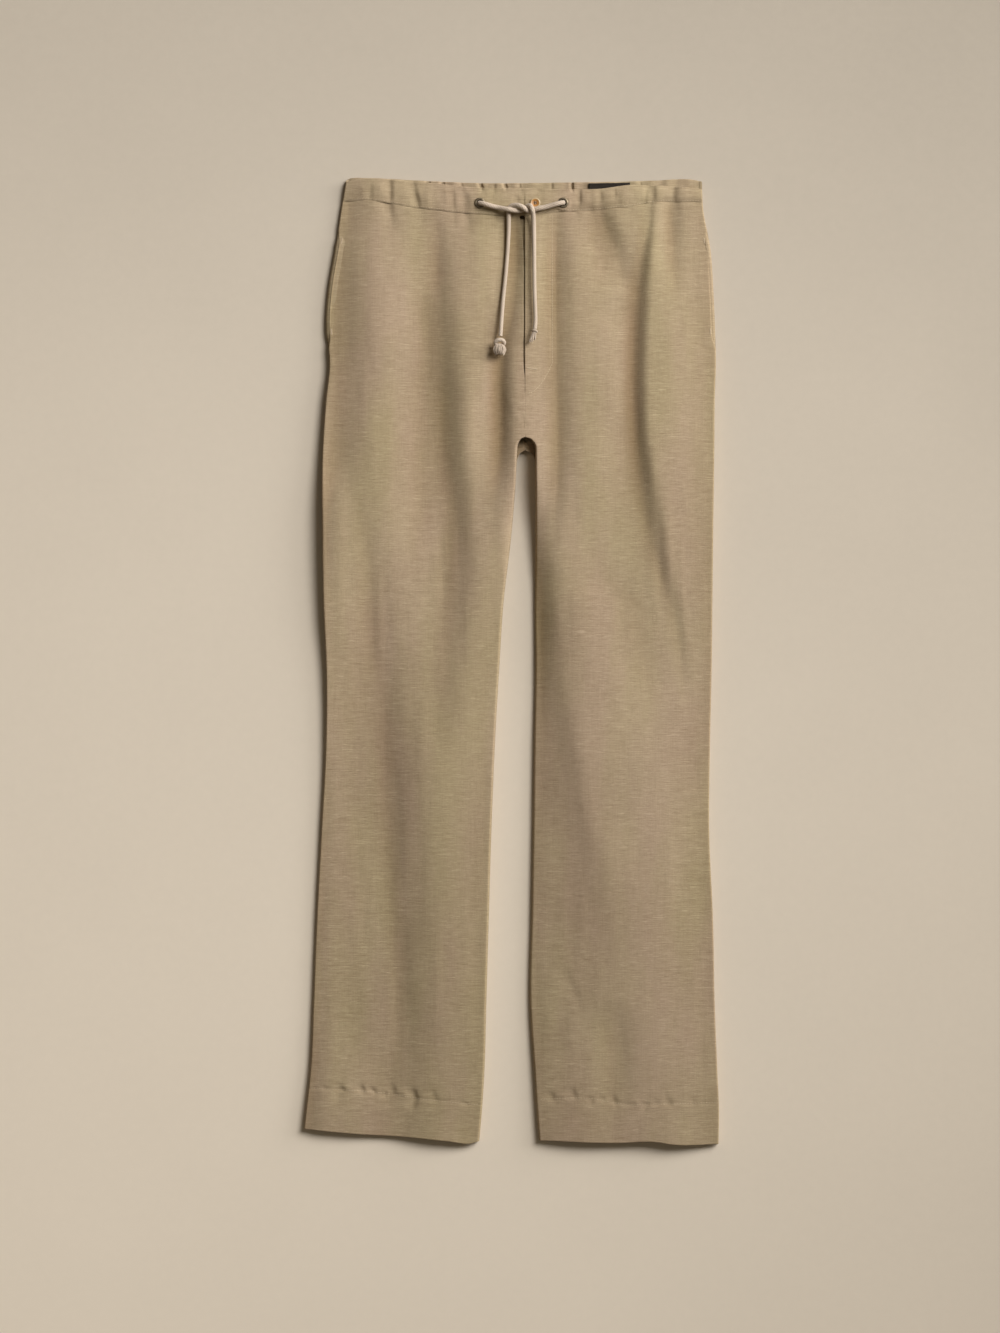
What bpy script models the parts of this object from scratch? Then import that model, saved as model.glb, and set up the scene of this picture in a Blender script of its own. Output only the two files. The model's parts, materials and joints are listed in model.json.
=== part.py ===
"""Linen drawstring trousers, lying flat and face up, with the waist towards +Y.

A place on the cloth is given as x from the centre front, towards the wearer's left, and as the distance
down from the waist's top edge. The wearer's right leg lies on the -X side. All lengths are in metres.
"""

import bmesh
import bpy
import numpy as np
from mathutils import Vector
from mathutils.bvhtree import BVHTree

# Driving dimensions.
CENTRE_X = 0.0145
WAIST_Y = 0.5392
CLOTH = 0.0013
CASING = 0.0024
HEM_CLOTH = 0.0023
HEM_DEPTH = 0.045
SEAM_GAP = 0.0003
SEAM_HEIGHT = 0.0032
FRONT_CROTCH = 0.288
BACK_CROTCH = 0.302
CROTCH_ROUND = 0.014
FRONT_ROLL = 0.0075
BACK_ROLL = 0.0050
CENTRE_ROLL = 0.0030
LOWEST_TOP = 0.0054
CREST_SOFTNESS = 0.0015
FRONT_PARTING = (-0.030, 0.004)
BACK_PARTING = (-0.012, 0.010)
SEAM_SHIFT_END = 0.110
HEM_SHIFT_START = 0.960
NOMINAL_SEAM = 0.030
NOMINAL_HEM = 1.072

# Distances of each leg's edges from the centre front line.
SECTIONS = (
    # down, right outer, right inner, left inner, left outer
    (0.000, 0.2010, 0.0085, 0.0115, 0.1970),
    (0.030, 0.2060, 0.0085, 0.0115, 0.1985),
    (0.075, 0.2130, 0.0085, 0.0115, 0.2070),
    (0.120, 0.2205, 0.0085, 0.0115, 0.2115),
    (0.165, 0.2233, 0.0085, 0.0115, 0.2135),
    (0.203, 0.2196, 0.0085, 0.0115, 0.2143),
    (0.245, 0.2236, 0.0085, 0.0115, 0.2130),
    (0.300, 0.2272, 0.0086, 0.0115, 0.2126),
    (0.400, 0.2274, 0.0155, 0.0118, 0.2112),
    (0.470, 0.2264, 0.0237, 0.0115, 0.2105),
    (0.550, 0.2232, 0.0290, 0.0120, 0.2096),
    (0.640, 0.2240, 0.0340, 0.0105, 0.2076),
    (0.730, 0.2288, 0.0376, 0.0093, 0.2069),
    (0.830, 0.2340, 0.0406, 0.0075, 0.2112),
    (0.920, 0.2375, 0.0432, 0.0058, 0.2130),
    (1.000, 0.2412, 0.0455, 0.0105, 0.2161),
    (1.040, 0.2450, 0.0480, 0.0130, 0.2178),
    (1.080, 0.2482, 0.0515, 0.0160, 0.2174),
)

# How far down the waistband's edges and its seams lie across the width.
BAND = (
    # x, front top, back top, front seam
    (-0.206, 0.0020, 0.0012, 0.0220),
    (-0.180, -0.0015, -0.0022, 0.0220),
    (-0.118, 0.0012, 0.0002, 0.0308),
    (-0.050, 0.0072, 0.0030, 0.0378),
    (0.000, 0.0078, 0.0030, 0.0392),
    (0.050, 0.0102, 0.0022, 0.0345),
    (0.082, 0.0098, 0.0018, 0.0328),
    (0.120, 0.0052, 0.0014, 0.0287),
    (0.145, 0.0056, 0.0012, 0.0242),
    (0.199, 0.0090, 0.0010, 0.0237),
)
BACK_SEAM = 0.034

HEMS = (
    # x, down
    (-0.248, 1.0612),
    (-0.225, 1.0660),
    (-0.150, 1.0710),
    (-0.086, 1.0765),
    (-0.060, 1.0793),
    (-0.051, 1.0768),
    (0.017, 1.0760),
    (0.110, 1.0780),
    (0.142, 1.0767),
    (0.170, 1.0803),
    (0.218, 1.0800),
)

# Height of the front's crests above the surface that the trousers lie on.
CRESTS = (
    # down, height
    (0.000, 0.0110),
    (0.035, 0.0120),
    (0.130, 0.0185),
    (0.600, 0.0190),
    (0.900, 0.0175),
    (1.010, 0.0150),
    (1.080, 0.0125),
)

# Each fold is a valley that runs down the leg. A row gives where its bottom lies at one place, how deep
# it is there, and how far its flanks reach towards the wearer's right and left.
FOLDS = {
    "right_side": (
        # down, x, depth, right reach, left reach
        (-0.020, -0.214, 0.0030, 0.060, 0.034),
        (0.050, -0.217, 0.0070, 0.060, 0.034),
        (0.100, -0.220, 0.0095, 0.060, 0.034),
        (0.280, -0.226, 0.0100, 0.060, 0.050),
        (0.360, -0.194, 0.0055, 0.040, 0.030),
        (0.480, -0.178, 0.0070, 0.050, 0.022),
        (0.580, -0.170, 0.0110, 0.090, 0.038),
        (0.700, -0.170, 0.0130, 0.100, 0.050),
        (0.900, -0.167, 0.0125, 0.100, 0.054),
        (1.045, -0.166, 0.0050, 0.100, 0.060),
        (1.100, -0.166, 0.0040, 0.100, 0.060),
    ),
    "right_thigh": (
        (0.030, -0.103, 0.0005, 0.030, 0.010),
        (0.100, -0.102, 0.0065, 0.045, 0.016),
        (0.200, -0.100, 0.0115, 0.050, 0.022),
        (0.300, -0.096, 0.0130, 0.050, 0.023),
        (0.395, -0.088, 0.0125, 0.050, 0.027),
        (0.480, -0.091, 0.0090, 0.045, 0.025),
        (0.580, -0.096, 0.0035, 0.035, 0.020),
        (0.660, -0.096, 0.0000, 0.030, 0.020),
    ),
    "right_fly": (
        (0.030, -0.012, 0.0000, 0.022, 0.009),
        (0.050, -0.012, 0.0050, 0.022, 0.009),
        (0.134, -0.015, 0.0055, 0.024, 0.010),
        (0.200, -0.029, 0.0065, 0.024, 0.011),
        (0.302, -0.029, 0.0050, 0.024, 0.012),
        (0.380, -0.042, 0.0000, 0.024, 0.016),
    ),
    "left_fly": (
        (0.028, 0.036, 0.0000, 0.005, 0.013),
        (0.055, 0.037, 0.0045, 0.005, 0.013),
        (0.200, 0.037, 0.0060, 0.008, 0.014),
        (0.302, 0.038, 0.0062, 0.012, 0.014),
        (0.430, 0.030, 0.0000, 0.014, 0.014),
    ),
    "left_hip": (
        (0.028, 0.078, 0.0000, 0.030, 0.012),
        (0.072, 0.094, 0.0050, 0.030, 0.015),
        (0.125, 0.114, 0.0000, 0.030, 0.015),
    ),
    "left_thigh": (
        (0.000, 0.138, 0.0010, 0.020, 0.006),
        (0.050, 0.136, 0.0035, 0.026, 0.007),
        (0.100, 0.125, 0.0080, 0.036, 0.011),
        (0.134, 0.121, 0.0110, 0.040, 0.013),
        (0.302, 0.120, 0.0118, 0.042, 0.014),
        (0.391, 0.129, 0.0080, 0.042, 0.021),
        (0.481, 0.158, 0.0038, 0.040, 0.014),
        (0.600, 0.178, 0.0000, 0.030, 0.012),
    ),
    "left_inner": (
        (0.320, 0.010, 0.0000, 0.030, 0.010),
        (0.391, 0.010, 0.0070, 0.030, 0.014),
        (0.450, 0.010, 0.0130, 0.030, 0.025),
        (0.526, 0.010, 0.0130, 0.030, 0.040),
        (0.640, 0.006, 0.0125, 0.030, 0.064),
        (0.860, 0.004, 0.0100, 0.030, 0.076),
        (1.045, 0.010, 0.0050, 0.030, 0.060),
        (1.100, 0.012, 0.0040, 0.030, 0.060),
    ),
    "right_inner": (
        (0.300, -0.008, 0.0000, 0.020, 0.030),
        (0.400, -0.015, 0.0080, 0.036, 0.030),
        (0.730, -0.038, 0.0095, 0.044, 0.030),
        (0.920, -0.043, 0.0090, 0.044, 0.030),
        (1.045, -0.049, 0.0050, 0.044, 0.030),
        (1.100, -0.052, 0.0040, 0.044, 0.030),
    ),
    "left_side": (
        (-0.020, 0.198, 0.0020, 0.040, 0.030),
        (0.050, 0.203, 0.0065, 0.044, 0.030),
        (0.150, 0.213, 0.0090, 0.046, 0.030),
        (0.400, 0.211, 0.0090, 0.050, 0.030),
        (0.920, 0.213, 0.0085, 0.055, 0.030),
        (1.045, 0.218, 0.0050, 0.050, 0.030),
        (1.100, 0.218, 0.0040, 0.050, 0.030),
    ),
}

# Gathers pinched into the front casing, and how far each leans from the seam to the top edge.
FRONT_GATHERS = (
    # x, depth, reach, lean
    (-0.172, 0.0008, 0.0050, 0.000),
    (-0.151, 0.0014, 0.0030, 0.000),
    (-0.120, 0.0013, 0.0040, -0.006),
    (-0.080, 0.0010, 0.0040, 0.000),
    (-0.067, 0.0010, 0.0040, -0.004),
    (0.060, 0.0012, 0.0035, 0.000),
    (0.074, 0.0009, 0.0040, -0.003),
    (0.086, 0.0009, 0.0040, 0.002),
    (0.104, 0.0008, 0.0045, 0.000),
    (0.133, 0.0013, 0.0045, 0.004),
    (0.146, 0.0008, 0.0040, -0.002),
    (0.168, 0.0013, 0.0040, 0.000),
)
CASING_BULGE = 0.0011
LAP_RISE = 0.0008
FRONT_BAND_REACH = 0.186
BAND_SPACING = 0.012
CLOSEST_SECTIONS = 0.0025
CASING_SHARES = np.array((0.0, 0.3, 0.7, 1.0))
CASING_FOLD_ANGLES = np.radians((35, -35))

# The back casing is drawn up on its elastic into uneven waves.
BACK_WAVES = 18
BACK_WAVE_HEIGHT = 0.0010
BACK_WAVE_DRIFT = 0.9
BACK_WAVE_BEAT = 3.7
BACK_BAND_WIDTH = 0.390
BACK_BAND_REACH = 0.188
LOWEST_FULLNESS = 0.35
STATIONS_PER_WAVE = 5

# Pocket openings in the side seams: the front's edge stands in from the facing strip.
POCKET_TOP = 0.070
POCKET_BOTTOM = 0.172
POCKET_FADE = 0.018
POCKET_INSET = 0.0040
POCKET_LIFT = 0.0021
FACING_WIDTH = 0.0100
FACING_RISE = 0.0016
FACING_ROLL = 0.0030

# The fly: its left side is two cloths thick, and its opening shows the shield below.
FLY_WIDTH = 0.0345
FLY_BOTTOM = 0.240
FLY_RISE = 0.0008
FLY_CURVE = 0.035
FLY_EDGE = 0.0015
FLY_GAP = (
    # down, gap
    (0.036, 0.0068),
    (0.055, 0.0036),
    (0.075, 0.0014),
    (0.195, 0.0010),
    (0.215, 0.0003),
    (0.300, 0.0003),
)
SHIELD_HALF_WIDTH = 0.012
SHIELD_TOP = 0.043
SHIELD_BOTTOM = 0.212
SHIELD_DROP = 0.0018

# Trim.
EYELETS = (
    # name, x, down
    ("eyelet_right", -0.0507, 0.0254),
    ("eyelet_left", 0.0427, 0.0252),
)
EYELET_HOLE_RADIUS = 0.0030
EYELET_BARREL_RADIUS = 0.0037
EYELET_FLANGE_RADIUS = 0.0060
EYELET_RISE = 0.0011
EYELET_BARREL_LENGTH = 0.0024
EYELET_FLAT = 0.0070
EYELET_FADE = 0.0030
BUTTON_X = 0.0114
BUTTON_DOWN = 0.0256
BUTTON_RADIUS = 0.0057
BUTTON_THICKNESS = 0.0017
BUTTON_HOLE_RADIUS = 0.0007
BUTTON_HOLE_RING = 0.0015
BUTTON_HOLES = 4
BUTTON_DISH = 0.0005
LABEL_SPAN = (0.0715, 0.1180)
LABEL_TOP_MARGIN = 0.0006
LABEL_HEIGHT = 0.022
LABEL_CLOTH = 0.0010
TURN_STEPS = 24
BUTTON_HOLE_STEPS = 8
CUTTER_HEIGHT = 0.012
CUTTER_DEPTH = 0.040

# The drawstring's two free ends, each from its eyelet through one half knot and down over the fly. Lift
# is how far the cord's middle stands above where it would lie on the cloth.
CORD_RADIUS = 0.0025
CORD_CLEARANCE = 0.0004
CORD_ROUTES = {
    "cord_right": (
        # x, down, lift
        (-0.0517, 0.0255, -0.0013),
        (-0.0479, 0.0264, 0.0013),
        (-0.0431, 0.0278, 0.0024),
        (-0.0370, 0.0295, 0.0016),
        (-0.0302, 0.0312, 0.0013),
        (-0.0241, 0.0329, 0.0037),
        (-0.0179, 0.0343, 0.0054),
        (-0.0112, 0.0353, 0.0040),
        (-0.0062, 0.0348, 0.0012),
        (-0.0017, 0.0329, 0.0006),
        (0.0022, 0.0303, 0.0001),
        (0.0056, 0.0296, 0.0022),
        (0.0078, 0.0311, 0.0051),
        (0.0093, 0.0345, 0.0064),
        (0.0103, 0.0385, 0.0044),
        (0.0109, 0.0438, 0.0018),
        (0.0112, 0.0510, 0.0002),
        (0.0113, 0.0700, 0.0000),
        (0.0112, 0.1000, 0.0000),
        (0.0106, 0.1300, 0.0000),
        (0.0114, 0.1500, 0.0000),
        (0.0115, 0.1600, 0.0004),
        (0.0106, 0.1680, 0.0012),
    ),
    "cord_left": (
        (0.0437, 0.0252, -0.0013),
        (0.0399, 0.0260, 0.0013),
        (0.0351, 0.0272, 0.0024),
        (0.0286, 0.0291, 0.0019),
        (0.0218, 0.0309, 0.0016),
        (0.0157, 0.0322, 0.0020),
        (0.0106, 0.0337, 0.0010),
        (0.0073, 0.0351, 0.0004),
        (0.0039, 0.0358, 0.0016),
        (0.0006, 0.0351, 0.0042),
        (-0.0017, 0.0331, 0.0062),
        (-0.0050, 0.0309, 0.0058),
        (-0.0090, 0.0293, 0.0042),
        (-0.0129, 0.0289, 0.0020),
        (-0.0162, 0.0300, 0.0005),
        (-0.0179, 0.0327, 0.0001),
        (-0.0183, 0.0365, 0.0000),
        (-0.0183, 0.0421, 0.0000),
        (-0.0184, 0.0556, 0.0000),
        (-0.0195, 0.0780, 0.0000),
        (-0.0217, 0.1060, 0.0000),
        (-0.0246, 0.1340, 0.0004),
        (-0.0266, 0.1600, 0.0018),
        (-0.0276, 0.1755, 0.0034),
    ),
}
KNOT_STRETCH = 0.075
KNOT_SPACING = 0.0035
TAIL_SPACING = 0.0110
REST_REACHES = (0.0, 0.5, 0.9)
REST_TURNS = 8

# End pieces on the cords, turned about the cord's line: distance along it and radius there.
END_KNOT = (
    # along, radius
    (0.0000, 0.0026),
    (0.0013, 0.0044),
    (0.0037, 0.0051),
    (0.0064, 0.0043),
    (0.0092, 0.0059),
    (0.0135, 0.0067),
    (0.0178, 0.0059),
    (0.0205, 0.0030),
)
END_TUFT = (
    (0.0000, 0.0024),
    (0.0010, 0.0034),
    (0.0028, 0.0036),
    (0.0048, 0.0026),
    (0.0085, 0.0028),
    (0.0120, 0.0032),
    (0.0134, 0.0030),
)
END_LOBES = 3
END_LOBE_SHARE = 0.08
END_TWIST = 200.0
END_STEPS = 12
KNOT_FLATNESS = 0.85

# Rows of each panel down the leg: each stop is reached in so many steps.
FRONT_STOPS = (
    # down, steps
    (NOMINAL_SEAM, 0),
    (0.052, 2),
    (0.070, 1),
    (0.172, 5),
    (0.190, 1),
    (0.268, 4),
    (0.288, 2),
    (0.302, 3),
    (0.330, 2),
    (1.000, 19),
    (1.029, 1),
    (NOMINAL_HEM, 2),
)
BACK_STOPS = (
    (BACK_SEAM, 0),
    (0.060, 1),
    (0.240, 6),
    (0.292, 2),
    (0.302, 1),
    (0.316, 3),
    (0.340, 1),
    (0.980, 11),
    (1.029, 1),
    (NOMINAL_HEM, 1),
)
FRONT_MIDDLE_COLUMNS = 14
BACK_MIDDLE_COLUMNS = 3
FACING_ROWS = 7
SHIELD_ROWS = 10
LABEL_COLUMNS = 15
ROLL_ANGLES = np.radians((0, 30, 60, 90))
BACK_ROLL_ANGLES = np.radians((0, 45, 90))
SHARP_ANGLE = np.radians(40)

MATERIALS = {
    "linen": {"colour": (0.42, 0.32, 0.20, 1.0), "roughness": 0.9, "metallic": 0.0},
    "label": {"colour": (0.015, 0.016, 0.022, 1.0), "roughness": 0.7, "metallic": 0.0},
    "cord": {"colour": (0.62, 0.54, 0.43, 1.0), "roughness": 0.85, "metallic": 0.0},
    "brass": {"colour": (0.22, 0.17, 0.10, 1.0), "roughness": 0.35, "metallic": 1.0},
    "horn": {"colour": (0.45, 0.22, 0.07, 1.0), "roughness": 0.3, "metallic": 0.0},
}


def smooth(table, at):
    """A table's columns after its first, read along the first by a cubic Hermite curve."""
    rows = np.asarray(table, float)
    stops, values = rows[:, 0], rows[:, 1:]
    at = np.clip(np.asarray(at, float), stops[0], stops[-1])
    slopes = np.gradient(values, stops, axis=0)
    i = np.clip(np.searchsorted(stops, at, side="right") - 1, 0, len(stops) - 2)
    span = (stops[i + 1] - stops[i])[..., None]
    t = ((at - stops[i]) / (stops[i + 1] - stops[i]))[..., None]
    return (
        (2 * t**3 - 3 * t**2 + 1) * values[i]
        + (t**3 - 2 * t**2 + t) * span * slopes[i]
        + (3 * t**2 - 2 * t**3) * values[i + 1]
        + (t**3 - t**2) * span * slopes[i + 1]
    )


def step(low, high, at):
    """0 below low, 1 above high, and a smooth rise between them."""
    t = np.clip((np.asarray(at, float) - low) / (high - low), 0, 1)
    return t * t * (3 - 2 * t)


def place(x, down, z):
    """A point of the model from its place on the cloth and its height."""
    x, down, z = np.broadcast_arrays(x, down, z)
    return np.stack((CENTRE_X + x, WAIST_Y - down, z), axis=-1)


def crest(x, down):
    """The front's height before its edges roll down to the side seams."""
    height = smooth(CRESTS, down)[..., 0]
    for stations in FOLDS.values():
        bottom, depth, right_reach, left_reach = np.moveaxis(smooth(stations, down), -1, 0)
        offset = x - bottom
        reach = np.where(offset < 0, right_reach, left_reach)
        height = height - np.maximum(depth, 0) * np.exp(-((offset / reach) ** 2))
    over = height - LOWEST_TOP
    return LOWEST_TOP + 0.5 * (over + np.sqrt(over**2 + CREST_SOFTNESS**2))


def fly_rise(x, down):
    """Extra thickness where the left front is folded back along the fly."""
    width = FLY_WIDTH * np.sqrt(np.clip((FLY_BOTTOM - down) / FLY_CURVE, 0, 1))
    inside = step(0, FLY_EDGE, width - x) * (x > 0)
    return FLY_RISE * inside


def band_height(x, down):
    """The front casing's height, with its gathers, its bulge and its flats under the eyelets."""
    top, _, seam = np.moveaxis(smooth(BAND, x), -1, 0)
    share = np.clip((seam - down) / (seam - top), 0, 1)
    height = crest(x, down) + CASING_BULGE * np.sin(np.pi * share) + LAP_RISE * (x > 0)
    for middle, depth, reach, lean in FRONT_GATHERS:
        height = height - depth * np.exp(-(((x - middle - lean * share) / reach) ** 2))
    for _, eyelet_x, eyelet_down in EYELETS:
        flat = crest(np.array(eyelet_x), np.array(eyelet_down)) + CASING_BULGE + LAP_RISE * (eyelet_x > 0)
        distance = np.hypot(x - eyelet_x, down - eyelet_down)
        near = 1 - step(EYELET_FLAT, EYELET_FLAT + EYELET_FADE, distance)
        height = height + (flat - height) * near
    return height


def cloth_top(x, down):
    """Height of the cloth that shows from above, away from its rolled edges."""
    seam = smooth(BAND, x)[..., 2]
    return np.where(down < seam, band_height(x, down), crest(x, down) + fly_rise(x, down))


def rounded_crotch(down, crotch):
    """0 above the crotch and 1 once the leg's inner edge has turned down from it."""
    return np.sqrt(1 - (1 - np.clip((down - crotch) / CROTCH_ROUND, 0, 1)) ** 2)


def parting(down, crotch, reach):
    """0 where a panel meets its fellow at the centre and 1 where the legs have parted."""
    return step(crotch + reach[0], crotch + reach[1], down)


def edges(side, down, crotch):
    """Distances of a panel's outer and inner edges from the centre line, on one side."""
    outline = smooth(SECTIONS, down)
    outer, inner = (outline[..., 0], outline[..., 1]) if side < 0 else (outline[..., 3], outline[..., 2])
    return outer, np.maximum(inner * rounded_crotch(down, crotch), SEAM_GAP / 2)


def stops(rows):
    """Each row's place down the leg, from a table of stops."""
    places = [np.array([rows[0][0]])]
    for (start, _), (end, count) in zip(rows, rows[1:]):
        places.append(np.linspace(start, end, count + 1)[1:])
    return np.concatenate(places)


def warp(x, nominal, top_shift):
    """Moves the rows near the waist and the hem onto the seam's and the hem's own lines."""
    to_seam = top_shift * (1 - step(NOMINAL_SEAM, SEAM_SHIFT_END, nominal))
    to_hem = (smooth(HEMS, x)[..., 0] - NOMINAL_HEM) * step(HEM_SHIFT_START, NOMINAL_HEM, nominal)
    return nominal + to_seam + to_hem


def columns(outer, inner, outer_roll, inner_roll, outer_wall, inner_wall, angles, middle):
    """Distances from the centre line across one row, on the shown face and on the hidden one."""
    spread = np.linspace(0, 1, middle + 1)[1:-1]
    turn = 1 - np.cos(angles)
    rows = []
    for wall_out, wall_in in ((0, 0), (outer_wall, inner_wall)):
        from_outer = outer - wall_out - (outer_roll - wall_out) * turn
        from_inner = inner + wall_in + (inner_roll - wall_in) * turn
        between = (outer - outer_roll) + (inner + inner_roll - outer + outer_roll) * spread
        rows.append(np.concatenate((from_outer, between, from_inner[::-1])))
    return rows


def loft(name, rings, material):
    """A closed wall through rings of points, each out along one face and back along the other."""
    mesh = bpy.data.meshes.new(name)
    bm = bmesh.new()
    loops = [[bm.verts.new(point) for point in ring] for ring in rings]
    count = len(loops[0])
    for first, second in zip(loops, loops[1:]):
        for i in range(count):
            j = (i + 1) % count
            bm.faces.new((first[i], first[j], second[j], second[i]))
    for ring in (loops[0], loops[-1]):
        for i in range(count // 2 - 1):
            bm.faces.new((ring[i], ring[i + 1], ring[count - 2 - i], ring[count - 1 - i]))
    bmesh.ops.recalc_face_normals(bm, faces=bm.faces)
    bm.to_mesh(mesh)
    bm.free()
    return finish(name, mesh, material)


def finish(name, mesh, material):
    """Puts a mesh in the scene under its sub-part's name, with its material."""
    mesh.shade_smooth()
    mesh.set_sharp_from_angle(angle=SHARP_ANGLE)
    piece = bpy.data.objects.new(name, mesh)
    piece.data.materials.append(bpy.data.materials[material])
    bpy.context.collection.objects.link(piece)
    return piece


def make_materials():
    for name, look in MATERIALS.items():
        material = bpy.data.materials.new(name)
        material.use_nodes = True
        shader = material.node_tree.nodes["Principled BSDF"]
        shader.inputs["Base Color"].default_value = look["colour"]
        shader.inputs["Roughness"].default_value = look["roughness"]
        shader.inputs["Metallic"].default_value = look["metallic"]


def pocket_share(down):
    """1 along a pocket's opening and 0 away from it."""
    return step(POCKET_TOP - POCKET_FADE, POCKET_TOP, down) * (
        1 - step(POCKET_BOTTOM, POCKET_BOTTOM + POCKET_FADE, down)
    )


def make_front(side):
    """A front panel: a crowned wall whose sides roll down to the seams."""
    name = "front_right" if side < 0 else "front_left"
    rings = []
    for nominal in stops(FRONT_STOPS):
        wall = CLOTH + (HEM_CLOTH - CLOTH) * (nominal > NOMINAL_HEM - HEM_DEPTH)
        apart = parting(nominal, FRONT_CROTCH, FRONT_PARTING)
        inner_roll = CENTRE_ROLL + (FRONT_ROLL - CENTRE_ROLL) * apart
        span = edges(side, nominal, FRONT_CROTCH)
        walls = (wall, wall * apart)
        faces = []
        for depth, row in enumerate(
            columns(*span, FRONT_ROLL, inner_roll, *walls, ROLL_ANGLES, FRONT_MIDDLE_COLUMNS)
        ):
            across = (span[0] - row) / (span[0] - span[1])
            seam = smooth(BAND, side * row)[..., 2] + SEAM_GAP
            down = warp(side * row, nominal, seam - NOMINAL_SEAM)
            outer, inner = edges(side, down, FRONT_CROTCH)
            pocket = pocket_share(down)
            shift = POCKET_INSET * pocket
            gap = np.where(side < 0, smooth(FLY_GAP, down)[..., 0] - SEAM_GAP / 2, 0)
            gap = gap * (down < FRONT_CROTCH)
            distance = outer - shift + (inner + gap - outer + shift) * across
            x = side * distance
            top = crest(x, down) + (fly_rise(x, down) if side > 0 else 0)
            face = crest(x, down) - wall if depth else top
            rise = np.ones(len(row))
            rise[: len(ROLL_ANGLES)] = np.sin(ROLL_ANGLES)
            outer_edge = SEAM_HEIGHT + POCKET_LIFT * pocket
            z = outer_edge + (face - outer_edge) * rise
            fall = np.ones(len(row))
            fall[-len(ROLL_ANGLES) :] = np.sin(ROLL_ANGLES)[::-1]
            inner_edge = SEAM_HEIGHT * apart + face * (1 - apart)
            z = np.where(fall < 1, inner_edge + (face - inner_edge) * fall, z)
            faces.append(place(x, down, z))
        rings.append(np.concatenate((faces[0], faces[1][::-1])))
    return loft(name, rings, "linen")


def make_back(side):
    """A back panel: flat on the surface below, with its sides curled up to the seams."""
    name = "back_right" if side < 0 else "back_left"
    rim = SEAM_HEIGHT - SEAM_GAP
    rings = []
    for nominal in stops(BACK_STOPS):
        wall = CLOTH + (HEM_CLOTH - CLOTH) * (nominal > NOMINAL_HEM - HEM_DEPTH)
        apart = parting(nominal, BACK_CROTCH, BACK_PARTING)
        inner_roll = CENTRE_ROLL + (BACK_ROLL - CENTRE_ROLL) * apart
        span = edges(side, nominal, BACK_CROTCH)
        walls = (wall, wall * apart)
        faces = []
        for depth, row in enumerate(
            columns(*span, BACK_ROLL, inner_roll, *walls, BACK_ROLL_ANGLES, BACK_MIDDLE_COLUMNS)
        ):
            across = (span[0] - row) / (span[0] - span[1])
            down = warp(side * row, nominal, SEAM_GAP * (nominal <= BACK_SEAM))
            outer, inner = edges(side, down, BACK_CROTCH)
            x = side * (outer + (inner - outer) * across)
            face = wall if depth else 0.0
            z = np.full(len(row), face)
            count = len(BACK_ROLL_ANGLES)
            z[:count] += (rim - face) * (1 - np.sin(BACK_ROLL_ANGLES))
            z[-count:] += (rim - face) * apart * (1 - np.sin(BACK_ROLL_ANGLES))[::-1]
            faces.append(place(x, down, z))
        rings.append(np.concatenate((faces[0], faces[1][::-1])))
    return loft(name, rings, "linen")


def casing_ring(outer, inner, top, seam):
    """One section of a casing: up its shown face, over its folded top edge and down its hidden face.

    outer and inner give the x and the height of each face at a distance down.
    """
    radius = CASING / 2
    faces = []
    for face in (outer, inner):
        down = seam + (top + radius - seam) * CASING_SHARES
        faces.append(np.array([place(*face(d)) for d in down]))
    low, high = faces[1][-1], faces[0][-1]
    fold = []
    for angle in CASING_FOLD_ANGLES:
        point = low + (high - low) * (1 + np.sin(angle)) / 2
        point[1] += radius * np.cos(angle)
        fold.append(point)
    return np.concatenate((faces[0], fold, faces[1][::-1]))


def make_front_band(side):
    """Half of the front casing, from its side seam to the lap at the centre front."""
    name = "waistband_front_right" if side < 0 else "waistband_front_left"
    rings = []

    def add_ring(distance_at, turn):
        def face(wall):
            def at(down):
                outer = edges(side, down, FRONT_CROTCH)[0]
                x = side * distance_at(outer, wall)
                height = band_height(x, down) - wall
                return x, down, SEAM_HEIGHT + (height - SEAM_HEIGHT) * turn

            return at

        middle = side * distance_at(edges(side, NOMINAL_SEAM, FRONT_CROTCH)[0], 0)
        top, _, seam = smooth(BAND, middle)
        rings.append(casing_ring(face(0), face(CASING), top, seam))

    for angle in ROLL_ANGLES:
        def rolled(outer, wall, angle=angle):
            return outer - wall - (FRONT_ROLL - wall) * (1 - np.cos(angle))

        add_ring(rolled, np.sin(angle))
    for station in band_stations(side):
        add_ring(lambda outer, wall, station=station: station, 1.0)
    band = loft(name, rings, "linen")
    for _, eyelet_x, eyelet_down in EYELETS:
        if eyelet_x * side > 0:
            pierce(band, eyelet_x, eyelet_down, EYELET_BARREL_RADIUS + SEAM_GAP, TURN_STEPS)
    return band


def band_stations(side):
    """Distances from the centre front of the sections through one half of the front casing."""
    count = round(FRONT_BAND_REACH / BAND_SPACING) + 1
    wanted = list(np.linspace(FRONT_BAND_REACH, SEAM_GAP / 2, count))
    for middle, _, reach, _ in FRONT_GATHERS:
        if middle * side > 0:
            wanted += [abs(middle) - reach, abs(middle), abs(middle) + reach]
    for _, middle, _ in EYELETS:
        if middle * side > 0:
            wanted += [abs(middle) - EYELET_FLAT, abs(middle) + EYELET_FLAT]
    kept = [FRONT_BAND_REACH]
    for distance in sorted(wanted, reverse=True):
        if CLOSEST_SECTIONS < kept[-1] - distance and distance > CLOSEST_SECTIONS:
            kept.append(distance)
    return kept + [SEAM_GAP / 2]


def back_wave(x):
    """Height of the back casing's waves at their fullest."""
    phase = 2 * np.pi * BACK_WAVES * x / BACK_BAND_WIDTH
    uneven = phase + BACK_WAVE_DRIFT * np.sin(phase / BACK_WAVE_BEAT + 1)
    return BACK_WAVE_HEIGHT * 0.5 * (1 - np.cos(uneven))


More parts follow.
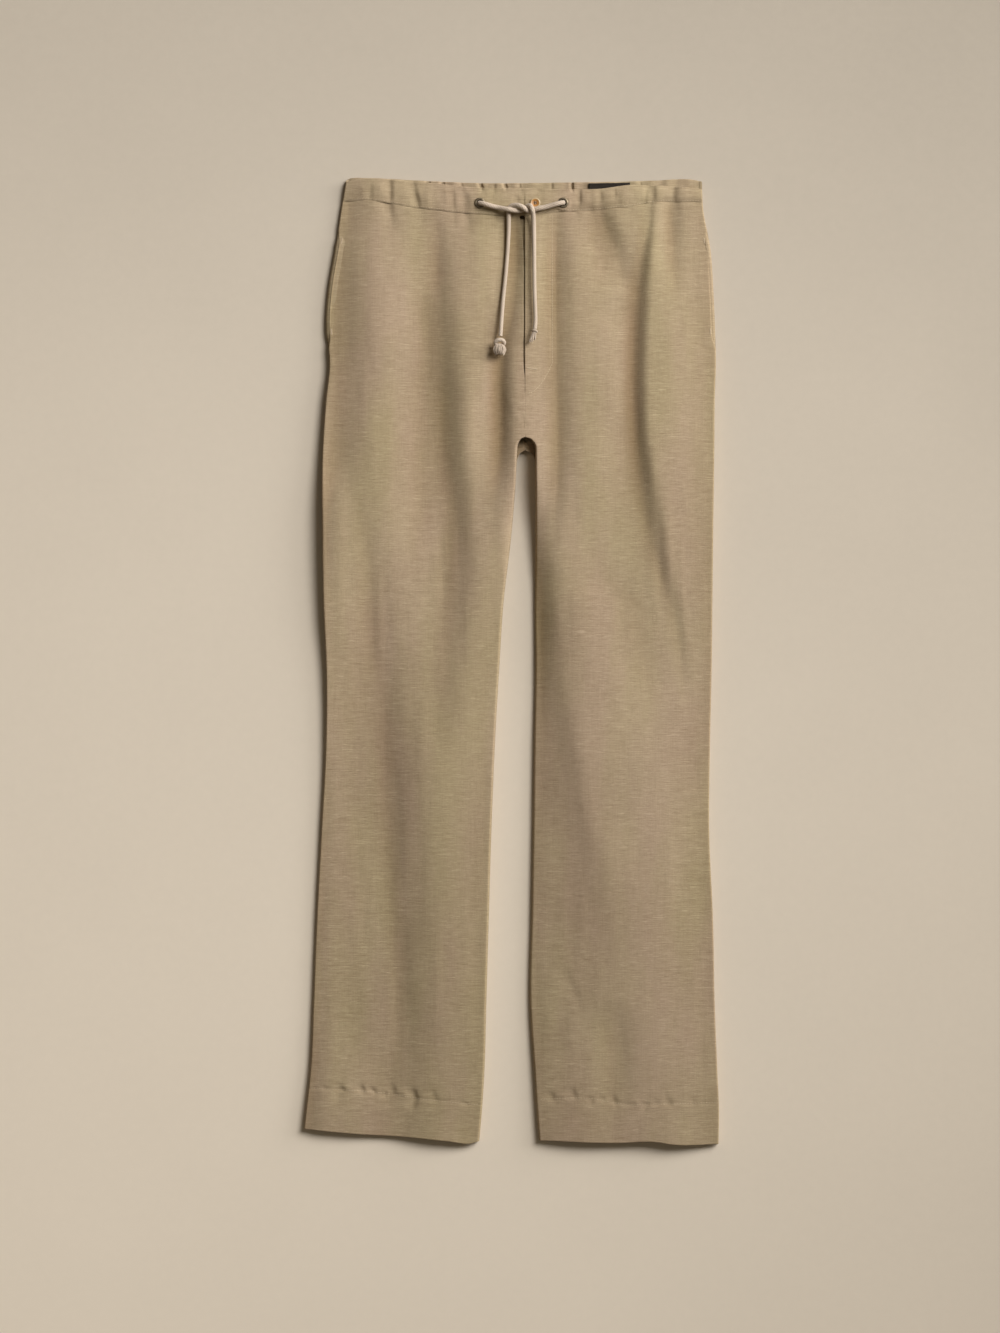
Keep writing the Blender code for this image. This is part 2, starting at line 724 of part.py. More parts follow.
def make_back_band():
    """The whole back casing, drawn up in waves between the two side seams."""
    rim = SEAM_HEIGHT - SEAM_GAP
    seam = BACK_SEAM - SEAM_GAP
    rings = []

    def add_ring(x_at, turn):
        middle = x_at(NOMINAL_SEAM / 2, 0)
        _, top, _ = smooth(BAND, middle)

        def face(wall):
            def at(down):
                x = x_at(down, wall)
                share = np.clip((seam - down) / (seam - top), 0, 1)
                fullness = LOWEST_FULLNESS + (1 - LOWEST_FULLNESS) * share
                height = back_wave(x) * fullness * (turn == 1.0) + wall
                return x, down, height + (rim - height) * (1 - turn)

            return at

        rings.append(casing_ring(face(0), face(CASING), top, seam))

    def rolled(side, angle):
        def at(down, wall):
            outer = edges(side, down, BACK_CROTCH)[0]
            return side * (outer - wall - (BACK_ROLL - wall) * (1 - np.cos(angle)))

        return at

    for angle in BACK_ROLL_ANGLES:
        add_ring(rolled(-1, angle), np.sin(angle))
    for x in np.linspace(-BACK_BAND_REACH, BACK_BAND_REACH, BACK_WAVES * STATIONS_PER_WAVE + 1):
        add_ring(lambda down, wall, x=x: x, 1.0)
    for angle in BACK_ROLL_ANGLES[::-1]:
        add_ring(rolled(1, angle), np.sin(angle))
    return loft("waistband_back", rings, "linen")


def pierce(piece, x, down, radius, sides):
    """Cuts a round hole down through a piece."""
    mesh = bpy.data.meshes.new("cutter")
    bm = bmesh.new()
    bmesh.ops.create_cone(
        bm, cap_ends=True, segments=sides, radius1=radius, radius2=radius, depth=CUTTER_DEPTH
    )
    bm.to_mesh(mesh)
    bm.free()
    cutter = bpy.data.objects.new(f"cutter_{piece.name}_{len(piece.modifiers)}", mesh)
    cutter.location = place(x, down, CUTTER_HEIGHT)
    cutter.hide_render = True
    cutter.display_type = "WIRE"
    bpy.context.collection.objects.link(cutter)
    cut = piece.modifiers.new("hole", "BOOLEAN")
    cut.operation = "DIFFERENCE"
    cut.solver = "EXACT"
    cut.object = cutter


def make_facing(side):
    """The strip of a pocket's back part that shows beyond the front's edge."""
    name = "pocket_facing_right" if side < 0 else "pocket_facing_left"
    rings = []
    for down in np.linspace(POCKET_TOP, POCKET_BOTTOM, FACING_ROWS):
        outer = edges(side, down, FRONT_CROTCH)[0]
        faces = []
        for wall in (0, CLOTH):
            roll = FACING_ROLL - wall
            distance = np.append(outer - wall - roll * (1 - np.cos(ROLL_ANGLES)), outer - FACING_WIDTH)
            rise = np.append(np.sin(ROLL_ANGLES), 1.0)
            z = SEAM_HEIGHT + (FACING_RISE - wall) * rise
            faces.append(place(side * distance, down, z))
        rings.append(np.concatenate((faces[0], faces[1][::-1])))
    return loft(name, rings, "linen")


def make_shield():
    """The strip below the fly's opening."""
    rings = []
    x = np.array((-1.0, -0.4, 0.2, 1.0)) * SHIELD_HALF_WIDTH
    for down in np.linspace(SHIELD_TOP, SHIELD_BOTTOM, SHIELD_ROWS):
        top = crest(x, down) - CLOTH - SHIELD_DROP
        shown = place(x, down, top)
        hidden = place(x, down, top - CLOTH)
        rings.append(np.concatenate((shown, hidden[::-1])))
    return loft("fly_shield", rings, "linen")


def make_label():
    """A small plain tab on the back casing's inner face, made from that face's points moved up."""
    rings = []
    low = BACK_WAVE_HEIGHT + CASING + 2 * SEAM_GAP
    for x in np.linspace(*LABEL_SPAN, LABEL_COLUMNS):
        top = smooth(BAND, x)[1] + LABEL_TOP_MARGIN + CASING / 2
        down = np.array((top, top + LABEL_HEIGHT))
        hidden = place(x, down, low)
        shown = place(x, down, low + LABEL_CLOTH)
        rings.append(np.concatenate((shown, hidden[::-1])))
    return loft("label", rings, "label")


def turned(name, profile, material):
    """A ring or disc turned about Z from a closed or axis-to-axis profile of (radius, height)."""
    mesh = bpy.data.meshes.new(name)
    bm = bmesh.new()
    points = [bm.verts.new((radius, 0, height)) for radius, height in profile]
    closed = profile[0][0] > 0
    pairs = list(zip(points, points[1:])) + ([(points[-1], points[0])] if closed else [])
    lines = [bm.edges.new(pair) for pair in pairs]
    bmesh.ops.spin(
        bm,
        geom=points + lines,
        cent=(0, 0, 0),
        axis=(0, 0, 1),
        angle=2 * np.pi,
        steps=TURN_STEPS,
        use_merge=True,
    )
    bmesh.ops.remove_doubles(bm, verts=bm.verts, dist=1e-6)
    bmesh.ops.recalc_face_normals(bm, faces=bm.faces)
    bm.to_mesh(mesh)
    bm.free()
    return finish(name, mesh, material)


def make_eyelet(name, x, down):
    """A metal ring: a rounded flange on the casing and a barrel down through it."""
    seat = band_height(np.array(x), np.array(down)) + SEAM_GAP
    middle = (EYELET_HOLE_RADIUS + EYELET_FLANGE_RADIUS) / 2
    profile = (
        (EYELET_HOLE_RADIUS, -EYELET_BARREL_LENGTH),
        (EYELET_BARREL_RADIUS, -EYELET_BARREL_LENGTH),
        (EYELET_BARREL_RADIUS, 0.0),
        (EYELET_FLANGE_RADIUS, 0.0),
        (EYELET_FLANGE_RADIUS, 0.4 * EYELET_RISE),
        (middle + 0.0007, EYELET_RISE),
        (middle - 0.0004, EYELET_RISE),
        (EYELET_HOLE_RADIUS, 0.5 * EYELET_RISE),
    )
    eyelet = turned(name, profile, "brass")
    eyelet.location = place(x, down, seat)
    return eyelet


def make_button():
    """A four-hole button with a rim round its dished middle."""
    seat = band_height(np.array(BUTTON_X), np.array(BUTTON_DOWN)) + 2 * SEAM_GAP
    profile = (
        (0.0, 0.0),
        (BUTTON_RADIUS - 0.0006, 0.0),
        (BUTTON_RADIUS, 0.5 * BUTTON_THICKNESS),
        (BUTTON_RADIUS - 0.0004, BUTTON_THICKNESS),
        (BUTTON_RADIUS - 0.0014, BUTTON_THICKNESS),
        (BUTTON_RADIUS - 0.0022, BUTTON_THICKNESS - BUTTON_DISH),
        (0.0, BUTTON_THICKNESS - BUTTON_DISH),
    )
    button = turned("button", profile, "horn")
    button.location = place(BUTTON_X, BUTTON_DOWN, seat)
    for turn in range(BUTTON_HOLES):
        angle = (turn + 0.5) * 2 * np.pi / BUTTON_HOLES
        pierce(
            button,
            BUTTON_X + BUTTON_HOLE_RING * np.cos(angle),
            BUTTON_DOWN - BUTTON_HOLE_RING * np.sin(angle),
            BUTTON_HOLE_RADIUS,
            BUTTON_HOLE_STEPS,
        )
    return button


def surface_reader(pieces):
    """Reads the height of the cloth's upper faces, straight down at a place, as if no hole were cut."""
    bpy.context.view_layer.update()
    depsgraph = bpy.context.evaluated_depsgraph_get()
    trees = [BVHTree.FromObject(piece, depsgraph) for piece in pieces]
    down_ray = Vector((0, 0, -1))

    def height(x, down):
        start = Vector(place(x, down, 0.1))
        hits = [tree.ray_cast(start, down_ray)[0] for tree in trees]
        return max([hit.z for hit in hits if hit] + [float(cloth_top(x, down))])

    return height


def resting_height(height, x, down, radius):
    """Height of a round cord's middle where it lies on the cloth at a place."""
    best = 0.0
    for reach in REST_REACHES:
        for turn in np.linspace(0, 2 * np.pi, REST_TURNS, endpoint=False):
            offset = radius * reach
            under = height(x + offset * np.cos(turn), down + offset * np.sin(turn))
            best = max(best, under + np.sqrt(radius**2 - offset**2))
    return best + CORD_CLEARANCE


def cord_points(route, height):
    """Points along a cord, read from a smooth curve through its route, close together in the knot."""
    spots = np.array(
        [place(x, down, resting_height(height, x, down, CORD_RADIUS) + lift) for x, down, lift in route]
    )
    reached = np.append(0, np.cumsum(np.linalg.norm(np.diff(spots, axis=0), axis=1)))
    table = np.column_stack((reached, spots))
    total = reached[-1]
    knot = np.linspace(0, KNOT_STRETCH, round(KNOT_STRETCH / KNOT_SPACING) + 1)
    tail = np.linspace(KNOT_STRETCH, total, round((total - KNOT_STRETCH) / TAIL_SPACING) + 1)
    return smooth(table, np.append(knot, tail[1:]))


def make_cord(name, points):
    """A round cord as a curve with a bevel and filled ends."""
    curve = bpy.data.curves.new(name, "CURVE")
    curve.dimensions = "3D"
    curve.bevel_depth = CORD_RADIUS
    curve.bevel_resolution = 2
    curve.use_fill_caps = True
    spline = curve.splines.new("POLY")
    spline.points.add(len(points) - 1)
    for spot, point in zip(spline.points, points):
        spot.co = (*point, 1.0)
    cord = bpy.data.objects.new(name, curve)
    cord.data.materials.append(bpy.data.materials["cord"])
    bpy.context.collection.objects.link(cord)
    return cord


def make_end(name, profile, start, direction, flatness):
    """A knot or tuft on a cord's end: rings about the cord's line, slightly lobed and flattened."""
    along_axis = Vector(direction).normalized()
    across = Vector((0, 0, 1)).cross(along_axis).normalized()
    upward = along_axis.cross(across)
    mesh = bpy.data.meshes.new(name)
    bm = bmesh.new()
    loops = []
    for along, radius in profile:
        ring = []
        for turn in np.linspace(0, 2 * np.pi, END_STEPS, endpoint=False):
            lobe = 1 + END_LOBE_SHARE * np.cos(END_LOBES * turn + END_TWIST * along)
            offset = across * np.cos(turn) + upward * np.sin(turn) * flatness
            ring.append(bm.verts.new(Vector(start) + along_axis * along + offset * radius * lobe))
        loops.append(ring)
    bmesh.ops.bridge_loops(bm, edges=[edge for ring in loops for edge in ring_edges(bm, ring)])
    bmesh.ops.contextual_create(bm, geom=loops[0])
    bmesh.ops.contextual_create(bm, geom=loops[-1])
    bmesh.ops.recalc_face_normals(bm, faces=bm.faces)
    bm.to_mesh(mesh)
    bm.free()
    return finish(name, mesh, "cord")


def ring_edges(bm, ring):
    return [bm.edges.new((ring[i], ring[(i + 1) % len(ring)])) for i in range(len(ring))]


def make_drawstring(pieces):
    """Both free ends of the drawstring, each with the knot or tuft that stops it fraying."""
    height = surface_reader(pieces)
    for name, route in CORD_ROUTES.items():
        points = cord_points(route, height)
        make_cord(name, points)
        heading = points[-1] - points[-2]
        start = points[-1] + heading / np.linalg.norm(heading) * SEAM_GAP
        if name == "cord_left":
            make_end("end_knot", END_KNOT, start, heading, KNOT_FLATNESS)
        else:
            make_end("end_tuft", END_TUFT, start, heading, 1.0)


def main():
    for piece in list(bpy.data.objects):
        bpy.data.objects.remove(piece, do_unlink=True)
    make_materials()
    shown = []
    for side in (-1, 1):
        shown.append(make_front(side))
        shown.append(make_front_band(side))
        make_back(side)
        make_facing(side)
    make_back_band()
    make_shield()
    make_label()
    for row in EYELETS:
        make_eyelet(*row)
    make_button()
    make_drawstring(shown)


main()
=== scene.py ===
"""Looks of linen drawstring trousers: cloth, seams, stitches, drawstring and trim round the part.

A place on the cloth is given as x from the centre front, towards the wearer's left, and as the
distance down from the waist's top edge. The wearer's right leg lies on the -X side. All lengths are
in metres.
"""

import json

import bmesh
import bpy
import numpy as np
from mathutils import Vector
from mathutils.bvhtree import BVHTree
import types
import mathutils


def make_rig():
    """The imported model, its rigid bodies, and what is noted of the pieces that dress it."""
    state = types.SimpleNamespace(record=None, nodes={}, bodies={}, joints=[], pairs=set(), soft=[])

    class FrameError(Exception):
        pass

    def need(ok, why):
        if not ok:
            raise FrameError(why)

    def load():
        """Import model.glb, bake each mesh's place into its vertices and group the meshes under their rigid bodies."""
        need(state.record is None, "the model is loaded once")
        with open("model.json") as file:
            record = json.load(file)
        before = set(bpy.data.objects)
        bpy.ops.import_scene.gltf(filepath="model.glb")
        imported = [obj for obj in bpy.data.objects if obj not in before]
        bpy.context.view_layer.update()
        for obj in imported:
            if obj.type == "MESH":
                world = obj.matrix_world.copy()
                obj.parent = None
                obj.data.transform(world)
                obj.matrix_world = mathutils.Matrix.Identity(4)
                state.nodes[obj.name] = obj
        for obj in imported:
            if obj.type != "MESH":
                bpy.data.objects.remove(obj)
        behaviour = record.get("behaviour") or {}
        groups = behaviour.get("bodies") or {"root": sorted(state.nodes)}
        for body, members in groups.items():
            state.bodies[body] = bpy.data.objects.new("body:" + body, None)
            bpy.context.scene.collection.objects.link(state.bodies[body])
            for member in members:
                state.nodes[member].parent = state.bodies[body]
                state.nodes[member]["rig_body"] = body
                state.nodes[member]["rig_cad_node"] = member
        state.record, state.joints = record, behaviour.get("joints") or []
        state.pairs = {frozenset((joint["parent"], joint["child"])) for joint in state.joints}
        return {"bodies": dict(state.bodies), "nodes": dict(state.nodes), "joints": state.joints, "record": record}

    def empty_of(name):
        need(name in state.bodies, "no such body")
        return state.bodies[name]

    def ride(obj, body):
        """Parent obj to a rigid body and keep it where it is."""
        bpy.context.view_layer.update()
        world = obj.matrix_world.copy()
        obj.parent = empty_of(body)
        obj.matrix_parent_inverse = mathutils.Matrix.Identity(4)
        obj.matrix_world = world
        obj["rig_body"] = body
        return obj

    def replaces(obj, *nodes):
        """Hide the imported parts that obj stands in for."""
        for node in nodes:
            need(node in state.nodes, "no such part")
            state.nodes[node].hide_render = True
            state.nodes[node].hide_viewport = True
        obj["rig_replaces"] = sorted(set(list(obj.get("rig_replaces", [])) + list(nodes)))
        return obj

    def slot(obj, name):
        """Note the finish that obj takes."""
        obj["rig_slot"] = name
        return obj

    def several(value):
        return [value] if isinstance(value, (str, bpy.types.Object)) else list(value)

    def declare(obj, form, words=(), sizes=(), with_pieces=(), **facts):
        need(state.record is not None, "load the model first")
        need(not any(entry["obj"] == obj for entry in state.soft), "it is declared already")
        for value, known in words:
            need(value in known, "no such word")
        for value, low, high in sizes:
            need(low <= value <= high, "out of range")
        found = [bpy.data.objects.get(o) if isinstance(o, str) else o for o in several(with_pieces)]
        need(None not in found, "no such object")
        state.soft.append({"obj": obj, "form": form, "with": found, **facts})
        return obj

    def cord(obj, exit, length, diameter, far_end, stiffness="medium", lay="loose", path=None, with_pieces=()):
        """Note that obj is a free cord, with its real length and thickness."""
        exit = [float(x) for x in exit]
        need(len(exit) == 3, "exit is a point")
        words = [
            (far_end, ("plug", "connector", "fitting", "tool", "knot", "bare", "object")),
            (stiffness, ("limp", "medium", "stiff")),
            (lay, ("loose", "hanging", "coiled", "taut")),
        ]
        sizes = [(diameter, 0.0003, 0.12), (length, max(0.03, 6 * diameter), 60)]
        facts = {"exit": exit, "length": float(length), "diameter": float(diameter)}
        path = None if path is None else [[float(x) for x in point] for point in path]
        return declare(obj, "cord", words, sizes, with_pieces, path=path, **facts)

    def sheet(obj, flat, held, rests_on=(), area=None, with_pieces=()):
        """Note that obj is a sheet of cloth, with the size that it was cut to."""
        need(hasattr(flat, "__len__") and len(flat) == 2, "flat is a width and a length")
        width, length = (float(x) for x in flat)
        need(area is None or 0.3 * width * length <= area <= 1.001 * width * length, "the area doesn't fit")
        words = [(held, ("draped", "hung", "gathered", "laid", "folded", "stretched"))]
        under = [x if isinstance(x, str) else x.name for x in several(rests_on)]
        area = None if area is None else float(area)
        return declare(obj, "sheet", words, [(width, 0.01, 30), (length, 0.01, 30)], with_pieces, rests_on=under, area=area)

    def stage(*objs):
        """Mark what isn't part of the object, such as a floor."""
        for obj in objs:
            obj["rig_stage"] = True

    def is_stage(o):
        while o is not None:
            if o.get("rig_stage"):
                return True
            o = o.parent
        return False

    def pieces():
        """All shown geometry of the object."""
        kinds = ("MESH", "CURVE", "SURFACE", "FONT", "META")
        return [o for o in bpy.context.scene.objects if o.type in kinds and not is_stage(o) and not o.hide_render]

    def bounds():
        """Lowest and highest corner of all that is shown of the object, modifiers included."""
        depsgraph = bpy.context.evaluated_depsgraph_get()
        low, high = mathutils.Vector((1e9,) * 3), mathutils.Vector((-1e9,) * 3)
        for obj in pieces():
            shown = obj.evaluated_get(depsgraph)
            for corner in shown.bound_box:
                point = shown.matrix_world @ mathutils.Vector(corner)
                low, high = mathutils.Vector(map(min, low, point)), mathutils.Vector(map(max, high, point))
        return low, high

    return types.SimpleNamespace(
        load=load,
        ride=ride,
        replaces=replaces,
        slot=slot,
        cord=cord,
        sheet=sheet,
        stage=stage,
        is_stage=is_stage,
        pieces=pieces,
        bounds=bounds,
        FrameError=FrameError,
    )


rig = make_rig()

bl_info = {
    "name": "Drawstring trousers",
    "version": (1, 0, 0),
    "blender": (4, 5, 0),
    "location": "View3D > Sidebar > Trousers",
    "description": "Builds the cloth, stitches, drawstring and trim of linen drawstring trousers",
    "category": "Object",
}

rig.load()
CAD_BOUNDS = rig.bounds()

# Driving dimensions, as the part has them.
CENTRE_X = 0.0145
WAIST_Y = 0.5392
CLOTH = 0.0013
CASING = 0.0024
HEM_CLOTH = 0.0023
HEM_DEPTH = 0.045
SEAM_GAP = 0.0003
CENTRE_GAP = 0.00006
SEAM_HEIGHT = 0.0032
FRONT_CROTCH = 0.288
BACK_CROTCH = 0.302
CROTCH_ROUND = 0.014
FRONT_ROLL = 0.0016
INNER_ROLL = 0.0024
BACK_ROLL = 0.0045
CENTRE_ROLL = 0.0016
LOWEST_TOP = 0.0054
CREST_SOFTNESS = 0.0015
FRONT_PARTING = (-0.001, 0.012)
BACK_PARTING = (-0.012, 0.010)
INNER_ROLL_GROWTH = (0.300, 0.450)
SEAM_SHIFT_END = 0.110
HEM_SHIFT_START = 0.960
NOMINAL_SEAM = 0.030
NOMINAL_HEM = 1.072

# Distances of each leg's edges from the centre front line.
SECTIONS = (
    # down, right outer, right inner, left inner, left outer
    (0.0, 0.201, 0.0085, 0.0115, 0.1988),
    (0.03, 0.206, 0.0085, 0.0115, 0.2),
    (0.075, 0.213, 0.0085, 0.0115, 0.2082),
    (0.12, 0.2205, 0.0085, 0.0115, 0.2115),
    (0.165, 0.2233, 0.0085, 0.0115, 0.2135),
    (0.203, 0.2196, 0.0085, 0.0115, 0.2143),
    (0.245, 0.2236, 0.0085, 0.0115, 0.213),
    (0.3, 0.2272, 0.0086, 0.0115, 0.2126),
    (0.4, 0.2274, 0.0155, 0.0118, 0.2112),
    (0.47, 0.2264, 0.0237, 0.0115, 0.2105),
    (0.55, 0.2232, 0.029, 0.012, 0.2096),
    (0.64, 0.224, 0.034, 0.0105, 0.2076),
    (0.73, 0.2288, 0.0376, 0.0093, 0.2069),
    (0.83, 0.234, 0.0406, 0.0075, 0.2112),
    (0.92, 0.2375, 0.0432, 0.0058, 0.213),
    (1.0, 0.2412, 0.0455, 0.0105, 0.2161),
    (1.04, 0.2456, 0.048, 0.013, 0.2178),
    (1.08, 0.2498, 0.0515, 0.016, 0.2174),
)

# How far down the waistband's edges and its seams lie across the width.
BAND = (
    # x, front top, back top, front seam
    (-0.206, 0.0008, -0.0002, 0.022),
    (-0.2, -0.0014, -0.0036, 0.022),
    (-0.18, -0.0026, -0.0042, 0.022),
    (-0.118, 0.0014, -0.0014, 0.0308),
    (-0.05, 0.0078, 0.0014, 0.0378),
    (0.0, 0.0082, 0.0014, 0.0392),
    (0.05, 0.0096, 0.0006, 0.0345),
    (0.082, 0.0092, 0.0002, 0.0328),
    (0.12, 0.0046, -0.0006, 0.0287),
    (0.145, 0.005, -0.0014, 0.0242),
    (0.19, 0.008, -0.0022, 0.0237),
    (0.2, 0.009, -0.0002, 0.0237),
)
BACK_SEAM = 0.034

HEMS = (
    # x, down
    (-0.248, 1.063),
    (-0.189, 1.0685),
    (-0.12, 1.0731),
    (-0.086, 1.0765),
    (-0.06, 1.0793),
    (-0.051, 1.0768),
    (0.017, 1.076),
    (0.11, 1.078),
    (0.142, 1.0767),
    (0.17, 1.0803),
    (0.218, 1.08),
)

# Where the hems' stitching lies.
HEM_SEAMS = (
    # x, down
    (-0.2352, 1.0172),
    (-0.1848, 1.0204),
    (-0.1512, 1.0238),
    (-0.1176, 1.0288),
    (-0.093, 1.0314),
    (-0.0459, 1.0356),
    (0.0235, 1.0294),
    (0.0762, 1.0285),
    (0.1019, 1.0335),
    (0.14, 1.0344),
    (0.215, 1.0331),
)

# Height of the front's crests above the surface that the trousers lie on.
CRESTS = (
    # down, height
    (0.0, 0.011),
    (0.035, 0.012),
    (0.13, 0.0185),
    (0.6, 0.019),
    (0.9, 0.0175),
    (1.01, 0.015),
    (1.08, 0.0125),
)

# Each fold is a valley that runs down the leg. A row gives where its bottom lies at one place, how
# deep it is there, and how far its flanks reach towards the wearer's right and left.
FOLDS = {
    "right_side": (
        # down, x, depth, right reach, left reach
        (-0.02, -0.214, 0.003, 0.06, 0.034), (0.05, -0.217, 0.007, 0.06, 0.034),
        (0.1, -0.22, 0.0095, 0.06, 0.034), (0.28, -0.226, 0.01, 0.06, 0.05),
        (0.36, -0.194, 0.0055, 0.04, 0.03), (0.48, -0.182, 0.0085, 0.05, 0.03),
        (0.58, -0.181, 0.0122, 0.09, 0.037), (0.7, -0.18, 0.0134, 0.1, 0.042),
        (0.8, -0.182, 0.0134, 0.1, 0.048), (0.9, -0.181, 0.0128, 0.1, 0.052),
        (1.045, -0.172, 0.0056, 0.1, 0.06), (1.1, -0.166, 0.004, 0.1, 0.06),
    ),
    "right_thigh": (
        (0.03, -0.103, 0.0005, 0.03, 0.01), (0.055, -0.102, 0.003, 0.038, 0.013),
        (0.1, -0.102, 0.0065, 0.045, 0.016), (0.2, -0.1, 0.0115, 0.05, 0.022),
        (0.3, -0.096, 0.013, 0.05, 0.023), (0.395, -0.088, 0.0125, 0.05, 0.027),
        (0.48, -0.091, 0.009, 0.045, 0.025), (0.58, -0.096, 0.0035, 0.035, 0.02),
        (0.66, -0.096, 0.0, 0.03, 0.02),
    ),
    "right_fly": (
        (0.03, -0.012, 0.0, 0.022, 0.009), (0.05, -0.012, 0.005, 0.022, 0.009),
        (0.134, -0.015, 0.0055, 0.024, 0.01), (0.2, -0.029, 0.0065, 0.024, 0.011),
        (0.302, -0.029, 0.005, 0.024, 0.012), (0.38, -0.042, 0.0, 0.024, 0.016),
    ),
    "left_fly": (
        (0.028, 0.036, 0.0, 0.02, 0.013), (0.055, 0.035, 0.0048, 0.024, 0.0145),
        (0.2, 0.035, 0.006, 0.026, 0.0155), (0.302, 0.037, 0.0062, 0.022, 0.015),
        (0.43, 0.03, 0.0, 0.018, 0.014),
    ),
    "left_hip": (
        (0.028, 0.078, 0.0, 0.03, 0.012), (0.072, 0.094, 0.0058, 0.03, 0.015),
        (0.098, 0.102, 0.0036, 0.03, 0.014), (0.128, 0.112, 0.0, 0.03, 0.014),
    ),
    "left_side_top": (
        (0.02, 0.164, 0.0, 0.02, 0.009), (0.045, 0.1645, 0.0014, 0.02, 0.01),
        (0.085, 0.166, 0.0018, 0.022, 0.011), (0.125, 0.168, 0.0008, 0.024, 0.012),
        (0.16, 0.17, 0.0, 0.024, 0.012),
    ),
    "left_thigh": (
        (0.0, 0.138, 0.001, 0.02, 0.006), (0.05, 0.136, 0.0035, 0.026, 0.007),
        (0.1, 0.125, 0.008, 0.036, 0.011), (0.134, 0.1205, 0.009, 0.038, 0.013),
        (0.302, 0.12, 0.0094, 0.04, 0.0138), (0.391, 0.129, 0.0072, 0.04, 0.02),
        (0.481, 0.158, 0.0038, 0.04, 0.014), (0.6, 0.178, 0.0, 0.03, 0.012),
    ),
    "left_inner": (
        (0.33, -0.004, 0.0, 0.01, 0.022), (0.36, -0.004, 0.004, 0.01, 0.024),
        (0.391, -0.006, 0.0105, 0.01, 0.027), (0.45, -0.006, 0.014, 0.01, 0.031),
        (0.526, -0.006, 0.014, 0.01, 0.045), (0.64, -0.01, 0.013, 0.01, 0.072),
        (0.86, -0.012, 0.0115, 0.01, 0.086), (1.045, 0.0, 0.006, 0.01, 0.066),
        (1.1, 0.002, 0.005, 0.01, 0.066),
    ),
    "right_inner": (
        (0.3, -0.008, 0.0, 0.02, 0.03), (0.4, -0.015, 0.0045, 0.036, 0.03),
        (0.73, -0.038, 0.005, 0.044, 0.03), (0.92, -0.043, 0.0055, 0.044, 0.03),
        (1.045, -0.049, 0.0042, 0.044, 0.03), (1.1, -0.052, 0.004, 0.044, 0.03),
    ),
    "left_side": (
        (-0.02, 0.198, 0.002, 0.04, 0.03), (0.05, 0.203, 0.0065, 0.044, 0.03),
        (0.15, 0.213, 0.009, 0.046, 0.03), (0.4, 0.211, 0.009, 0.05, 0.03),
        (0.92, 0.213, 0.0085, 0.055, 0.03), (1.045, 0.218, 0.005, 0.05, 0.03),
        (1.1, 0.218, 0.004, 0.05, 0.03),
    ),
}

# Folds whose left flanks start more sharply (below 2) or end more sharply (above 2).
FOLD_POWERS = {"left_fly": 1.3, "left_side_top": 1.4, "left_thigh": 2.8}

